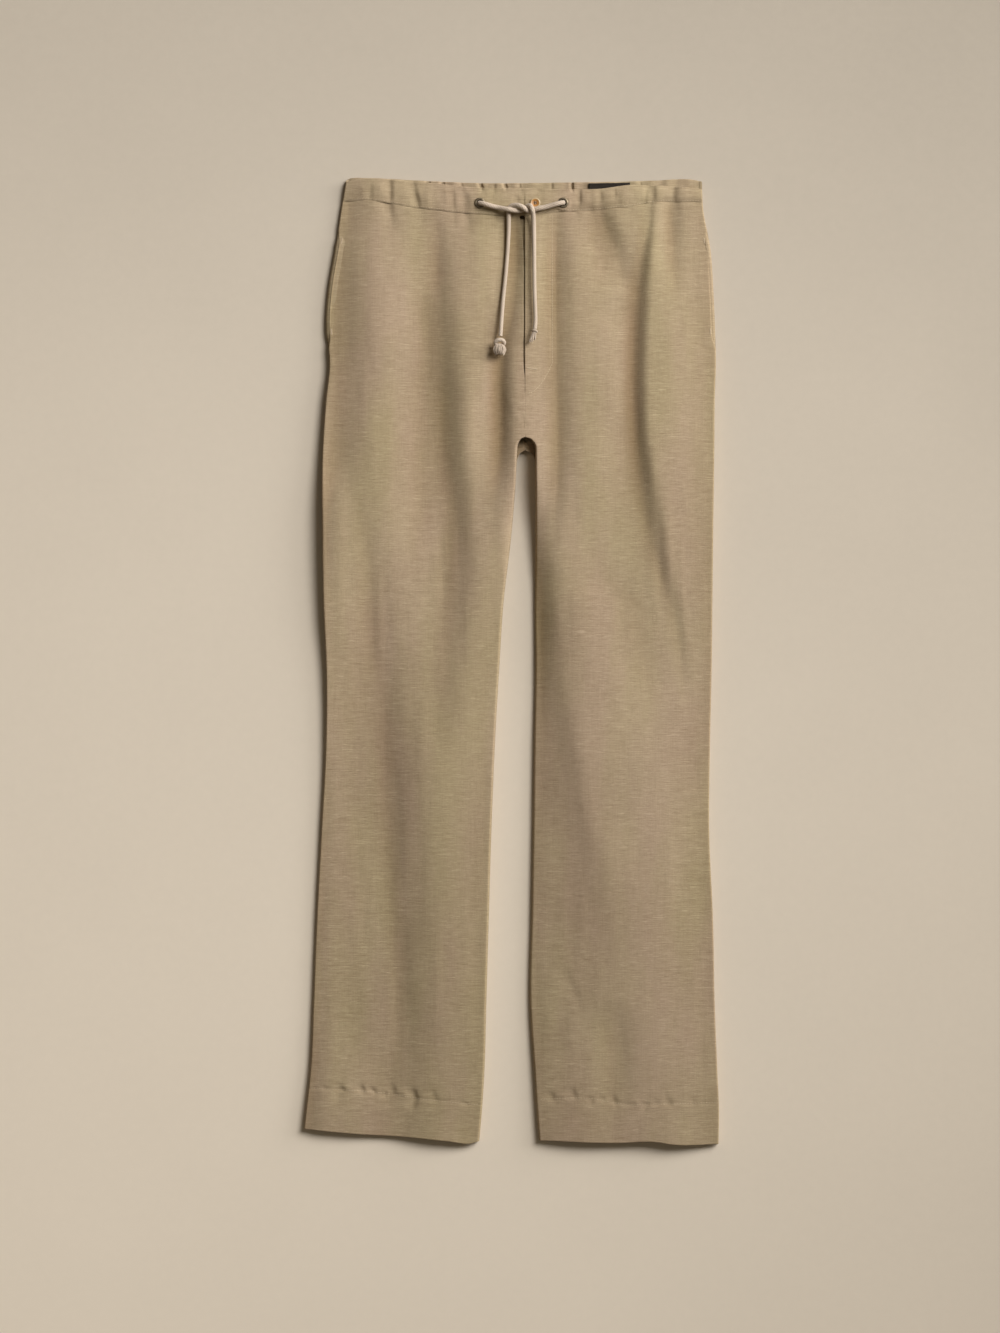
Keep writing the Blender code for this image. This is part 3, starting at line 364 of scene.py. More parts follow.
# Softer troughs that the cloth adds to the folds, read as FOLDS is. A negative depth makes a ridge.
DRAPES = {
    "right_hem_rise": (
        (0.98, -0.2, 0.0, 0.04, 0.04), (1.04, -0.2, -0.0012, 0.04, 0.04),
        (1.075, -0.2, -0.0026, 0.04, 0.04),
    ),
    "right_hem_swell": (
        (0.99, -0.098, 0.0, 0.034, 0.028), (1.05, -0.098, -0.0012, 0.034, 0.028),
        (1.08, -0.098, -0.0034, 0.034, 0.028),
    ),
    "left_hem_rise": (
        (0.98, 0.052, 0.0, 0.036, 0.044), (1.04, 0.052, -0.0012, 0.036, 0.044),
        (1.08, 0.052, -0.0038, 0.036, 0.044),
    ),
    "left_hem_swell": (
        (0.98, 0.164, 0.0, 0.04, 0.034), (1.04, 0.164, -0.001, 0.04, 0.034),
        (1.08, 0.164, -0.0036, 0.04, 0.034),
    ),
    "right_low_edge": (
        (0.6, -0.223, 0.0, 0.014, 0.012), (0.72, -0.229, 0.002, 0.014, 0.012),
        (0.83, -0.2345, 0.003, 0.014, 0.012), (0.92, -0.2378, 0.0036, 0.014, 0.012),
        (1.0, -0.2418, 0.0036, 0.014, 0.013), (1.08, -0.2485, 0.003, 0.014, 0.013),
    ),
    "left_low_edge": (
        (0.4, 0.0126, 0.0, 0.012, 0.014), (0.44, 0.0126, 0.0026, 0.012, 0.016),
        (0.5, 0.0128, 0.0032, 0.012, 0.017), (0.56, 0.0125, 0.0018, 0.012, 0.015),
        (0.64, 0.0105, 0.0012, 0.012, 0.012), (0.9, 0.0062, 0.0016, 0.012, 0.012),
        (1.0, 0.0105, 0.0012, 0.012, 0.012), (1.07, 0.015, 0.0004, 0.012, 0.012),
    ),
    "left_hip_side": (
        (0.018, 0.16, 0.0024, 0.014, 0.0105), (0.04, 0.16, 0.0032, 0.014, 0.0105),
        (0.07, 0.162, 0.0024, 0.016, 0.0115), (0.105, 0.164, 0.001, 0.018, 0.013),
        (0.135, 0.164, 0.0, 0.018, 0.013),
    ),
    "right_edge": (
        (-0.01, -0.202, 0.0026, 0.013, 0.013), (0.03, -0.206, 0.0026, 0.013, 0.013),
        (0.07, -0.21, 0.0012, 0.014, 0.02), (0.134, -0.208, 0.0026, 0.018, 0.03),
        (0.19, -0.207, 0.0034, 0.018, 0.032), (0.246, -0.209, 0.0034, 0.018, 0.032),
        (0.31, -0.218, 0.0036, 0.016, 0.024), (0.36, -0.226, 0.004, 0.014, 0.015),
        (0.43, -0.2265, 0.0034, 0.014, 0.014), (0.5, -0.225, 0.0014, 0.014, 0.014),
        (0.56, -0.224, 0.0, 0.014, 0.014),
    ),
    "right_fly_low": (
        (0.16, -0.026, 0.0, 0.012, 0.007), (0.2, -0.0265, 0.0012, 0.012, 0.007),
        (0.25, -0.0285, 0.0028, 0.013, 0.008), (0.29, -0.029, 0.0032, 0.013, 0.009),
        (0.33, -0.03, 0.0016, 0.013, 0.009), (0.36, -0.031, 0.0, 0.013, 0.009),
    ),
    "right_shin": (
        (0.19, -0.123, 0.0, 0.045, 0.02), (0.24, -0.121, 0.0024, 0.045, 0.02),
        (0.308, -0.123, 0.003, 0.045, 0.024), (0.375, -0.127, 0.004, 0.045, 0.026),
        (0.408, -0.134, 0.0046, 0.046, 0.03), (0.476, -0.144, 0.0054, 0.04, 0.042),
        (0.543, -0.148, 0.0054, 0.038, 0.046), (0.61, -0.153, 0.0042, 0.034, 0.046),
        (0.677, -0.158, 0.0036, 0.03, 0.048), (0.744, -0.162, 0.0042, 0.026, 0.052),
        (0.812, -0.16, 0.005, 0.026, 0.054), (0.9, -0.158, 0.0048, 0.028, 0.052),
        (0.98, -0.156, 0.0036, 0.03, 0.046), (1.04, -0.156, 0.0014, 0.03, 0.04),
    ),
    "right_thigh_ridge": (
        (0.106, -0.0952, 0.0, 0.014, 0.026), (0.14, -0.0952, -0.003, 0.014, 0.026),
        (0.173, -0.0941, -0.003, 0.014, 0.026), (0.207, -0.093, -0.0026, 0.014, 0.026),
        (0.245, -0.093, 0.0, 0.014, 0.026),
    ),
    "right_crotch": (
        (0.224, -0.0459, 0.0, 0.016, 0.016), (0.274, -0.0482, 0.0026, 0.016, 0.016),
        (0.341, -0.0459, 0.002, 0.016, 0.016), (0.375, -0.0448, 0.002, 0.016, 0.016),
        (0.425, -0.0448, 0.0, 0.016, 0.016),
    ),
    "left_waist": (
        (0.016, 0.084, 0.0, 0.026, 0.02), (0.04, 0.084, 0.0034, 0.026, 0.02),
        (0.072, 0.0818, 0.0034, 0.026, 0.02), (0.106, 0.0806, 0.0038, 0.026, 0.02),
        (0.14, 0.0728, 0.0016, 0.026, 0.02), (0.173, 0.0728, 0.0, 0.026, 0.02),
    ),
    "left_thigh_ridge": (
        (0.15, 0.0974, 0.0, 0.022, 0.022), (0.173, 0.0974, -0.002, 0.022, 0.022),
        (0.207, 0.0985, -0.003, 0.022, 0.022), (0.24, 0.0974, -0.0034, 0.022, 0.022),
        (0.274, 0.0996, -0.0018, 0.022, 0.022), (0.336, 0.0996, 0.0, 0.022, 0.022),
    ),
    "left_shin": (
        (0.324, 0.0728, 0.0, 0.04, 0.04), (0.375, 0.075, 0.0032, 0.04, 0.04),
        (0.408, 0.0795, 0.0044, 0.04, 0.04), (0.442, 0.0907, 0.005, 0.04, 0.04),
        (0.476, 0.1131, 0.0054, 0.036, 0.036), (0.509, 0.1221, 0.0056, 0.036, 0.032),
        (0.543, 0.131, 0.0054, 0.036, 0.028), (0.576, 0.1378, 0.0036, 0.034, 0.026),
        (0.61, 0.14, 0.0018, 0.034, 0.026), (0.65, 0.14, 0.0, 0.034, 0.026),
    ),
    "left_shin_ridge": (
        (0.45, 0.0347, 0.0, 0.02, 0.026), (0.476, 0.0347, -0.0018, 0.02, 0.026),
        (0.509, 0.037, -0.0024, 0.02, 0.028), (0.543, 0.0392, -0.003, 0.02, 0.03),
        (0.576, 0.0459, -0.0034, 0.022, 0.032), (0.61, 0.0549, -0.0044, 0.024, 0.034),
        (0.644, 0.0594, -0.0054, 0.024, 0.034), (0.677, 0.0583, -0.0042, 0.024, 0.034),
        (0.711, 0.0706, -0.0034, 0.028, 0.03), (0.744, 0.0862, -0.0032, 0.034, 0.026),
        (0.778, 0.0896, -0.0026, 0.034, 0.026), (0.84, 0.0896, 0.0, 0.034, 0.026),
    ),
    "left_hem": (
        (0.918, 0.0952, 0.0, 0.02, 0.024), (0.946, 0.0941, 0.0026, 0.02, 0.024),
        (0.98, 0.0963, 0.0034, 0.02, 0.024), (1.013, 0.0963, 0.0028, 0.02, 0.024),
        (1.055, 0.0963, 0.0004, 0.02, 0.024), (1.08, 0.0963, 0.0, 0.02, 0.024),
    ),
}

# Gathers pinched into the front casing, and how far each leans from the seam to the top edge.
FRONT_GATHERS = (
    # x, depth, reach, lean
    (-0.192, 0.0016, 0.009, 0.002),
    (-0.152, 0.0014, 0.0034, 0.0),
    (-0.12, 0.0013, 0.004, -0.006),
    (-0.08, 0.001, 0.004, 0.0),
    (-0.067, 0.001, 0.004, -0.004),
    (0.06, 0.0012, 0.0035, 0.0),
    (0.074, 0.0009, 0.004, -0.003),
    (0.086, 0.0009, 0.004, 0.002),
    (0.104, 0.0008, 0.0045, 0.0),
    (0.133, 0.0013, 0.0045, 0.004),
    (0.146, 0.0008, 0.004, -0.002),
    (0.168, 0.0013, 0.004, 0.0),
)
GATHER_SHARE = 0.75
CASING_BULGE = 0.0011
LAP_RISE = 0.0008
FRONT_BAND_REACH = 0.186

# The back casing is drawn up on its elastic into uneven waves.
BACK_WAVES = 18
BACK_WAVE_HEIGHT = 0.0010
BACK_WAVE_DRIFT = 0.9
BACK_WAVE_BEAT = 3.7
BACK_BAND_WIDTH = 0.390
BACK_BAND_REACH = 0.188
LOWEST_FULLNESS = 0.35

# Pocket openings in the side seams, and the fly.
POCKET_TOP = 0.070
POCKET_BOTTOM = 0.172
POCKET_FADE = 0.018
POCKET_INSET = 0.0040
POCKET_LIFT = 0.0044
FACING_WIDTH = 0.0100
FACING_RISE = 0.0036
FACING_ROLL = 0.0036
FACING_TUCK = 0.0012
FACING_LOW = 0.0012
FACING_ROLL_STEPS = 9
FACING_ROWS = 81
FLY_WIDTH = 0.0338
FLY_BOTTOM = 0.240
FLY_RISE = 0.0005
FLY_CURVE = 0.035
FLY_EDGE = 0.0020
FLY_GAP = (
    # down, gap
    (0.036, 0.007),
    (0.055, 0.004),
    (0.075, 0.0022),
    (0.13, 0.0018),
    (0.17, 0.0017),
    (0.19, 0.0026),
    (0.204, 0.0023),
    (0.222, 0.0006),
    (0.24, 0.0003),
)
SHIELD_HALF_WIDTH = 0.012
SHIELD_TOP = 0.043
SHIELD_BOTTOM = 0.212
SHIELD_DROP = 0.0007
SHIELD_ROWS = 91
SHIELD_COLUMNS = 25

# Trim.
EYELETS = (
    # name, x, down
    ("eyelet_right", -0.0507, 0.0254),
    ("eyelet_left", 0.0427, 0.0252),
)
EYELET_HOLE_RADIUS = 0.0030
EYELET_BARREL_RADIUS = 0.0037
EYELET_FLANGE_RADIUS = 0.0060
EYELET_RISE = 0.0011
EYELET_BARREL_LENGTH = 0.0024
EYELET_FLAT = 0.0070
EYELET_FADE = 0.0030
EYELET_CROWN = 0.8
EYELET_CROWN_STEPS = 13
ROUND_STEPS = 64
BUTTON_X = 0.0114
BUTTON_DOWN = 0.0256
BUTTON_RADIUS = 0.0057
BUTTON_THICKNESS = 0.0017
BUTTON_HOLE_RADIUS = 0.0007
BUTTON_HOLE_RING = 0.0015
BUTTON_HOLES = 4
BUTTON_DISH = 0.0005
BUTTON_HOLE_SIDES = 20
# The button's rim, as how far in from its edge each place lies and at what share of its thickness,
# and its dish, as how far in and at what share of its depth.
BUTTON_RIM = (
    (0.0008, 0.0),
    (0.0002, 0.25),
    (0.0, 0.5),
    (0.0001, 0.75),
    (0.0004, 0.95),
    (0.0009, 1.0),
    (0.0013, 0.97),
)
BUTTON_BOWL = ((0.0018, 0.6), (0.0024, 1.0))
BUTTON_THREAD_STEPS = 9
BUTTON_THREAD_RISE = 0.0004
BUTTON_THREAD_ARCH = 0.0010
BUTTON_THREAD_APART = 0.00018
BUTTON_THREAD_RADIUS = 0.00016
LABEL_SPAN = (0.0715, 0.1180)
LABEL_TOP_MARGIN = 0.0006
LABEL_HEIGHT = 0.022
LABEL_CLOTH = 0.0010
LABEL_EDGE = 0.55
LABEL_EDGE_REACH = 0.0012
LABEL_ROWS = 24
LABEL_COLUMNS = 48
LABEL_STITCH = 0.0022
CUTTER_HEIGHT = 0.012
CUTTER_DEPTH = 0.040

# The drawstring's two free ends, each from its eyelet through the half knot to its knot or tuft.
CORD_PATHS = {
    "right": (
        (-0.0372, 0.5137, 0.0145), (-0.0343, 0.5130, 0.0165), (-0.0311, 0.5122, 0.0178),
        (-0.0277, 0.5112, 0.0181), (-0.0243, 0.5102, 0.0176), (-0.0209, 0.5093, 0.0171),
        (-0.0174, 0.5085, 0.0167), (-0.0141, 0.5078, 0.0171), (-0.0108, 0.5070, 0.0183),
        (-0.0074, 0.5063, 0.0193), (-0.0040, 0.5057, 0.0200), (-0.0006, 0.5051, 0.0195),
        (0.0028, 0.5047, 0.0183), (0.0061, 0.5046, 0.0167), (0.0093, 0.5050, 0.0157),
        (0.0124, 0.5063, 0.0159), (0.0151, 0.5083, 0.0162), (0.0176, 0.5097, 0.0176),
        (0.0200, 0.5096, 0.0200), (0.0216, 0.5073, 0.0222), (0.0227, 0.5040, 0.0223),
        (0.0234, 0.5007, 0.0203), (0.0242, 0.4905, 0.0170), (0.0245, 0.4797, 0.0168),
        (0.0246, 0.4688, 0.0179), (0.0247, 0.4579, 0.0187), (0.0247, 0.4471, 0.0195),
        (0.0248, 0.4362, 0.0204), (0.0249, 0.4254, 0.0212), (0.0251, 0.4145, 0.0219),
        (0.0254, 0.4036, 0.0225), (0.0258, 0.3928, 0.0230), (0.0261, 0.3819, 0.0238),
        (0.0253, 0.3712, 0.0253),
    ),
    "left": (
        (0.0582, 0.5140, 0.0153), (0.0553, 0.5134, 0.0173), (0.0521, 0.5126, 0.0186),
        (0.0487, 0.5117, 0.0190), (0.0453, 0.5107, 0.0186), (0.0418, 0.5097, 0.0182),
        (0.0384, 0.5088, 0.0180), (0.0349, 0.5080, 0.0180), (0.0314, 0.5074, 0.0183),
        (0.0280, 0.5068, 0.0180), (0.0247, 0.5060, 0.0172), (0.0214, 0.5050, 0.0166),
        (0.0181, 0.5043, 0.0178), (0.0154, 0.5051, 0.0201), (0.0128, 0.5072, 0.0215),
        (0.0099, 0.5089, 0.0214), (0.0068, 0.5100, 0.0205), (0.0037, 0.5104, 0.0189),
        (0.0005, 0.5101, 0.0172), (-0.0023, 0.5086, 0.0158), (-0.0037, 0.5054, 0.0147),
        (-0.0038, 0.5019, 0.0138), (-0.0038, 0.4914, 0.0121), (-0.0040, 0.4807, 0.0111),
        (-0.0045, 0.4700, 0.0109), (-0.0051, 0.4593, 0.0113), (-0.0059, 0.4486, 0.0125),
        (-0.0068, 0.4380, 0.0140), (-0.0078, 0.4274, 0.0153), (-0.0089, 0.4168, 0.0164),
        (-0.0100, 0.4062, 0.0175), (-0.0109, 0.3956, 0.0186), (-0.0117, 0.3849, 0.0196),
        (-0.0124, 0.3743, 0.0208), (-0.0131, 0.3637, 0.0222),
    ),
}

# Short gathers that hang from the waist seam. Positive heights stand up.
WAIST_GATHERS = (
    # x, height, reach, length, lean
    (-0.193, -0.0014, 0.009, 0.06, -0.002),
    (-0.17, 0.0004, 0.0045, 0.034, 0.001),
    (-0.153, -0.0024, 0.004, 0.048, 0.006),
    (-0.133, 0.0006, 0.006, 0.05, 0.002),
    (-0.118, -0.0007, 0.004, 0.03, 0.003),
    (-0.098, 0.0006, 0.005, 0.022, -0.001),
    (-0.08, -0.0009, 0.0035, 0.034, 0.0),
    (-0.066, -0.0016, 0.0038, 0.034, 0.004),
    (-0.049, 0.0005, 0.0045, 0.024, 0.002),
    (-0.033, -0.0006, 0.0035, 0.02, 0.001),
    (0.056, -0.0009, 0.0035, 0.022, 0.001),
    (0.074, -0.0011, 0.003, 0.02, 0.0),
    (0.085, -0.0008, 0.0035, 0.03, 0.004),
    (0.101, 0.0006, 0.005, 0.04, 0.004),
    (0.117, -0.0007, 0.004, 0.02, 0.001),
    (0.15, 0.0009, 0.006, 0.05, -0.002),
    (0.169, -0.0014, 0.0045, 0.06, 0.002),
    (0.186, 0.0005, 0.0045, 0.04, 0.001),
)

# Creases pressed and worn into the fronts, each from one place to another and bowed in its middle.
CREASES = (
    # x, down, to x, to down, bow, height, reach
    # Fine lengthwise creases beside the right thigh's fold and above the knee.
    (-0.176, 0.395, -0.171, 0.56, 0.002, -0.0012, 0.005),
    (-0.164, 0.43, -0.16, 0.59, -0.001, 0.0009, 0.0045),
    (-0.158, 0.405, -0.152, 0.52, 0.001, -0.0007, 0.0035),
    (-0.096, 0.38, -0.092, 0.52, 0.002, -0.001, 0.0035),
    (-0.083, 0.35, -0.079, 0.48, 0.001, 0.0008, 0.0035),
    (-0.072, 0.43, -0.066, 0.59, -0.002, -0.0008, 0.004),
    (-0.056, 0.3, -0.064, 0.42, 0.002, 0.0007, 0.005),
    (-0.104, 0.5, -0.098, 0.64, 0.001, -0.0009, 0.0045),
    (-0.118, 0.56, -0.11, 0.7, 0.002, 0.0007, 0.006),
    # Right lower leg.
    (-0.15, 0.64, -0.14, 0.8, 0.003, -0.0011, 0.006),
    (-0.12, 0.66, -0.123, 0.9, 0.004, -0.001, 0.007),
    (-0.134, 0.82, -0.128, 1.0, -0.002, -0.001, 0.006),
    (-0.1, 0.8, -0.104, 0.96, 0.003, 0.0008, 0.007),
    (-0.198, 0.7, -0.196, 0.9, 0.003, 0.0006, 0.007),
    (-0.072, 0.7, -0.07, 0.93, 0.003, 0.0006, 0.007),
    # Beside the fly and above the crotch.
    (0.001, 0.2105, 0.0145, 0.2128, 0.0, -0.0016, 0.0008),
    (-0.008, 0.255, 0.004, 0.286, 0.001, -0.0007, 0.0018),
    (-0.014, 0.262, -0.003, 0.288, 0.001, -0.0006, 0.0018),
    (0.016, 0.262, 0.004, 0.288, 0.001, -0.0006, 0.002),
    (-0.034, 0.23, -0.01, 0.287, 0.003, -0.0008, 0.0035),
    (0.03, 0.3, 0.016, 0.4, 0.002, -0.0008, 0.004),
    # Left thigh, and the fine creases where its main fold runs out.
    (0.147, 0.335, 0.152, 0.47, 0.001, -0.0012, 0.0035),
    (0.16, 0.35, 0.164, 0.5, -0.001, 0.001, 0.0035),
    (0.168, 0.4, 0.176, 0.56, 0.001, -0.001, 0.0035),
    (0.14, 0.4, 0.15, 0.52, 0.001, 0.0008, 0.004),
    (0.182, 0.44, 0.184, 0.54, 0.001, -0.0006, 0.0035),
    (0.056, 0.34, 0.05, 0.43, 0.002, -0.0009, 0.005),
    (0.045, 0.43, 0.048, 0.54, 0.002, -0.001, 0.0045),
    (0.066, 0.12, 0.062, 0.28, 0.002, 0.0006, 0.007),
    (0.188, 0.05, 0.192, 0.18, 0.001, -0.0006, 0.006),
    # Left lower leg.
    (0.034, 0.56, 0.06, 0.76, 0.004, -0.001, 0.006),
    (0.06, 0.6, 0.078, 0.8, 0.004, 0.0008, 0.007),
    (0.036, 0.76, 0.04, 0.9, 0.002, 0.0007, 0.006),
    (0.042, 0.88, 0.062, 0.938, 0.003, -0.0018, 0.0045),
    (0.062, 0.915, 0.048, 0.98, -0.002, 0.0012, 0.006),
    (0.082, 0.88, 0.094, 0.99, 0.003, 0.0009, 0.008),
    (0.1, 0.92, 0.112, 1.02, 0.002, -0.0008, 0.006),
    (0.16, 0.7, 0.158, 0.9, 0.003, 0.0005, 0.008),
)

# Puckers where the hem's stitching draws the cloth up.
HEM_PUCKERS = (
    # x, height, reach, length. A negative length makes one below the stitching.
    (-0.225, -0.0006, 0.0026, 0.012),
    (-0.206, -0.0011, 0.003, 0.014),
    (-0.2085, -0.0013, 0.0042, -0.034),
    (-0.196, 0.0005, 0.0035, 0.012),
    (-0.1825, -0.0017, 0.0026, 0.016),
    (-0.17, -0.0015, 0.0024, 0.013),
    (-0.157, -0.0011, 0.0022, -0.012),
    (-0.148, -0.0014, 0.0032, 0.03),
    (-0.152, -0.0011, 0.0036, -0.03),
    (-0.135, 0.0006, 0.004, 0.016),
    (-0.1235, -0.002, 0.003, 0.024),
    (-0.1245, -0.0018, 0.0034, -0.032),
    (-0.1015, -0.001, 0.0034, 0.028),
    (-0.07, -0.0005, 0.003, 0.014),
    (0.03, -0.0012, 0.003, 0.02),
    (0.042, 0.0007, 0.004, 0.018),
    (0.055, -0.0014, 0.003, 0.024),
    (0.074, -0.0009, 0.003, -0.022),
    (0.087, -0.0008, 0.003, 0.014),
    (0.1, -0.0013, 0.003, 0.022),
    (0.124, 0.0006, 0.004, 0.016),
    (0.135, -0.0008, 0.0032, -0.026),
    (0.147, -0.0007, 0.0028, 0.014),
    (0.161, -0.0012, 0.003, 0.02),
    (0.188, -0.0007, 0.003, 0.016),
    (0.204, -0.0006, 0.0028, -0.018),
)

# How dense each piece's grid is: a place down the leg is reached in so many rows.
FRONT_ROWS = (
    # down, steps
    (NOMINAL_SEAM, 0),
    (0.0306, 4),
    (0.034, 3),
    (0.06, 18),
    (0.11, 22),
    (0.25, 46),
    (0.288, 16),
    (0.302, 10),
    (0.33, 12),
    (1.005, 200),
    (1.036, 20),
    (1.07, 18),
    (NOMINAL_HEM - 0.0006, 3),
    (NOMINAL_HEM, 4),
)
BACK_ROWS = (
    (BACK_SEAM, 0),
    (0.0346, 4),
    (0.06, 8),
    (0.29, 42),
    (0.302, 8),
    (0.33, 10),
    (1.005, 120),
    (1.036, 12),
    (1.07, 8),
    (NOMINAL_HEM - 0.0006, 3),
    (NOMINAL_HEM, 4),
)


# How many columns each panel has: over its rolled edges, and between them.
FRONT_ROLL_STEPS = 9
FRONT_MIDDLE = 108
BACK_ROLL_STEPS = 7
BACK_MIDDLE = 54
# The fronts' hidden faces have so many times fewer columns than their shown ones.
HIDDEN_EVERY = 3

SIDES = ((-1, "right"), (1, "left"))
FRONT_AREAS = {"right": 0.2350, "left": 0.2340}
SLOTS = {
    "linen": "linen",
    "thread": "linen",
    "cotton": "cord",
    "brass": "brass",
    "horn": "horn",
    "tab": "label",
}

# What is left of a wall's thickness at an open edge and at a sewn one.
EDGE_LEFT = 0.12
SEAM_LEFT = 0.8
FAR = 1.0

# How much gentler a crease's flank is towards the wearer's right, and how a crease runs out.
GENTLE = 2.0
CREASE_FADE = 0.8
WAIST_GATHER_FADE = 1.5
CREASE_SHARE = 0.44
PUCKER_SHARE = 0.9
PUCKER_RISE = 0.6
PUCKER_LENGTH = 0.25
PUCKER_LEAN = 0.5

# The gathers' strength varies along the casing and up it.
GATHER_UNEVENNESS = 0.9
GATHER_TURNS = 2.3
GATHER_SPREAD = 97

# Where the lapped end of the casing rises, as shares of the casing's height.
LAP_START = (0.0, 0.35)
LAP_TUCK = (0.55, 0.8)
LAP_TUCK_X = (0.06, 0.02)

# The line that the casing's fold leaves just under its top edge.
TOP_LINE = 0.0003
TOP_LINE_SHARE = 0.88
TOP_LINE_REACH = 0.05

# Grooves along the stitching.
HEM_GROOVE = 0.0005
SEAM_GROOVE = 0.0003
SEAM_GROOVE_REACH = 0.0022
FLY_GROOVE = 0.0005
GROOVE_REACH = 0.0013
FLY_STITCH = 0.0305
STITCH_TENSION = 0.8
STITCH_TENSION_CELL = 0.006

# Unevenness of the cloth, on a lattice of so many seeded heights each way.
LATTICE = 61
RIPPLES = (
    # height, slant, cell across, cell down, seed
    (0.00016, 0.0, 0.009, 0.045, 3),
    (0.00016, 0.31, 0.021, 0.03, 5),
    (0.00005, 0.0, 0.0045, 0.014, 7),
)
CASING_RIPPLE = (0.00025, 0.0, 0.0060, 0.020, 13)
BACK_CASING_RIPPLE = (0.0002, 0.0, 0.005, 0.012, 17)
SHIELD_RIPPLE = (0.0002, 0.0, 0.005, 0.020, 19)
TAB_RIPPLE = (0.0001, 0.0, 0.006, 0.006, 23)

# The fronts' narrow valleys, into whose colour their finish paints shade.
HOLLOW_REACH = 0.016
HOLLOW_DEPTH = 0.0050

# The backs: the ridge over their hem stitching, their puckers, and how unevenly they lie.
BACK_STITCH_RISE = 0.0003
BACK_PUCKER_SHARE = 0.6
BACK_PUCKER_SPREAD = 0.97
BACK_PUCKER_SHIFT = 0.006
BACK_RIPPLE = 0.00025
BACK_RIPPLE_CELLS = (0.012, 0.060)

# The backs' bulge in the gap below the crotch: its height, width, start and end.
CROTCH_BULGE = 0.0060
CROTCH_BULGE_WIDE = 0.016
CROTCH_BULGE_START = (0.262, 0.296)
CROTCH_BULGE_END = (0.345, 0.304)

# Creases of the backs, as they are read in CREASES.
CROTCH_CREASES = (
    (-0.0045, 0.2895, 0.008, 0.3, 0.0004, 0.0022, 0.0014),
    (0.0005, 0.2865, 0.01, 0.295, 0.0004, 0.0024, 0.0014),
    (-0.008, 0.294, 0.002, 0.3015, 0.0004, 0.0016, 0.0014),
)
BACK_CREASES = (
    (-0.18, 0.06, -0.168, 0.33, 0.006, 0.0007, 0.01),
    (-0.12, 0.045, -0.112, 0.21, -0.004, 0.0006, 0.008),
    (-0.07, 0.24, -0.02, 0.305, 0.004, 0.0009, 0.006),
    (-0.11, 0.25, -0.03, 0.325, 0.006, 0.0007, 0.007),
    (-0.13, 0.38, -0.118, 0.7, 0.008, 0.0006, 0.012),
    (-0.17, 0.56, -0.176, 0.93, 0.006, 0.0006, 0.011),
    (-0.09, 0.64, -0.098, 1.0, 0.005, 0.0005, 0.01),
    (0.072, 0.05, 0.08, 0.23, 0.004, 0.0006, 0.008),
    (0.15, 0.045, 0.14, 0.3, -0.005, 0.0007, 0.01),
    (0.024, 0.305, 0.074, 0.24, 0.004, 0.0009, 0.006),
    (0.028, 0.326, 0.12, 0.262, 0.006, 0.0006, 0.007),
    (0.11, 0.36, 0.12, 0.64, 0.006, 0.0006, 0.012),
    (0.07, 0.56, 0.062, 0.9, -0.005, 0.0005, 0.011),
    (0.16, 0.62, 0.15, 0.98, 0.006, 0.0006, 0.011),
)


def smooth(table, at):
    """A table's columns after its first, read along the first by a cubic Hermite curve."""
    rows = np.asarray(table, float)
    stops, values = rows[:, 0], rows[:, 1:]
    at = np.clip(np.asarray(at, float), stops[0], stops[-1])
    slopes = np.gradient(values, stops, axis=0)
    i = np.clip(np.searchsorted(stops, at, side="right") - 1, 0, len(stops) - 2)
    span = (stops[i + 1] - stops[i])[..., None]
    t = ((at - stops[i]) / (stops[i + 1] - stops[i]))[..., None]
    return (
        (2 * t**3 - 3 * t**2 + 1) * values[i]
        + (t**3 - 2 * t**2 + t) * span * slopes[i]
        + (3 * t**2 - 2 * t**3) * values[i + 1]
        + (t**3 - t**2) * span * slopes[i + 1]
    )


def step(low, high, at):
    """0 below low, 1 above high, and a smooth rise between them."""
    t = np.clip((np.asarray(at, float) - low) / (high - low), 0, 1)
    return t * t * (3 - 2 * t)


def place(x, down, z):
    """A point of the model from its place on the cloth and its height."""
    x, down, z = np.broadcast_arrays(x, down, z)
    return np.stack((CENTRE_X + x, WAIST_Y - down, z), axis=-1)


def crest(x, down):
    """The front's height before its edges roll down to the side seams."""
    height = smooth(CRESTS, down)[..., 0]
    for name, stations in FOLDS.items():
        bottom, depth, right_reach, left_reach = np.moveaxis(smooth(stations, down), -1, 0)
        offset = x - bottom
        reach = np.where(offset < 0, right_reach, left_reach)
        power = np.where(offset < 0, 2.0, FOLD_POWERS.get(name, 2.0))
        height = height - np.maximum(depth, 0) * np.exp(-(np.abs(offset / reach) ** power))
    for stations in DRAPES.values():
        middle, depth, right_reach, left_reach = np.moveaxis(smooth(stations, down), -1, 0)
        reach = np.where(x < middle, right_reach, left_reach)
        height = height - depth * np.exp(-(((x - middle) / reach) ** 2))
    over = height - LOWEST_TOP
    return LOWEST_TOP + 0.5 * (over + np.sqrt(over**2 + CREST_SOFTNESS**2))


def fly_rise(x, down):
    """Extra thickness where the left front is folded back along the fly."""
    width = FLY_WIDTH * np.sqrt(np.clip((FLY_BOTTOM - down) / FLY_CURVE, 0, 1))
    return FLY_RISE * step(0, FLY_EDGE, width - x) * (x > 0)


def leaning(offset, reach):
    """A trough's profile, 1 at its bottom, with its gentler flank towards the wearer's right."""
    return np.exp(-((offset / np.where(offset < 0, GENTLE * reach, reach)) ** 2))


def band_share(x, down):
    """0 at the front casing's seam and 1 at its top edge."""
    top, _, seam = np.moveaxis(smooth(BAND, x), -1, 0)
    return np.clip((seam - down) / (seam - top), 0, 1)


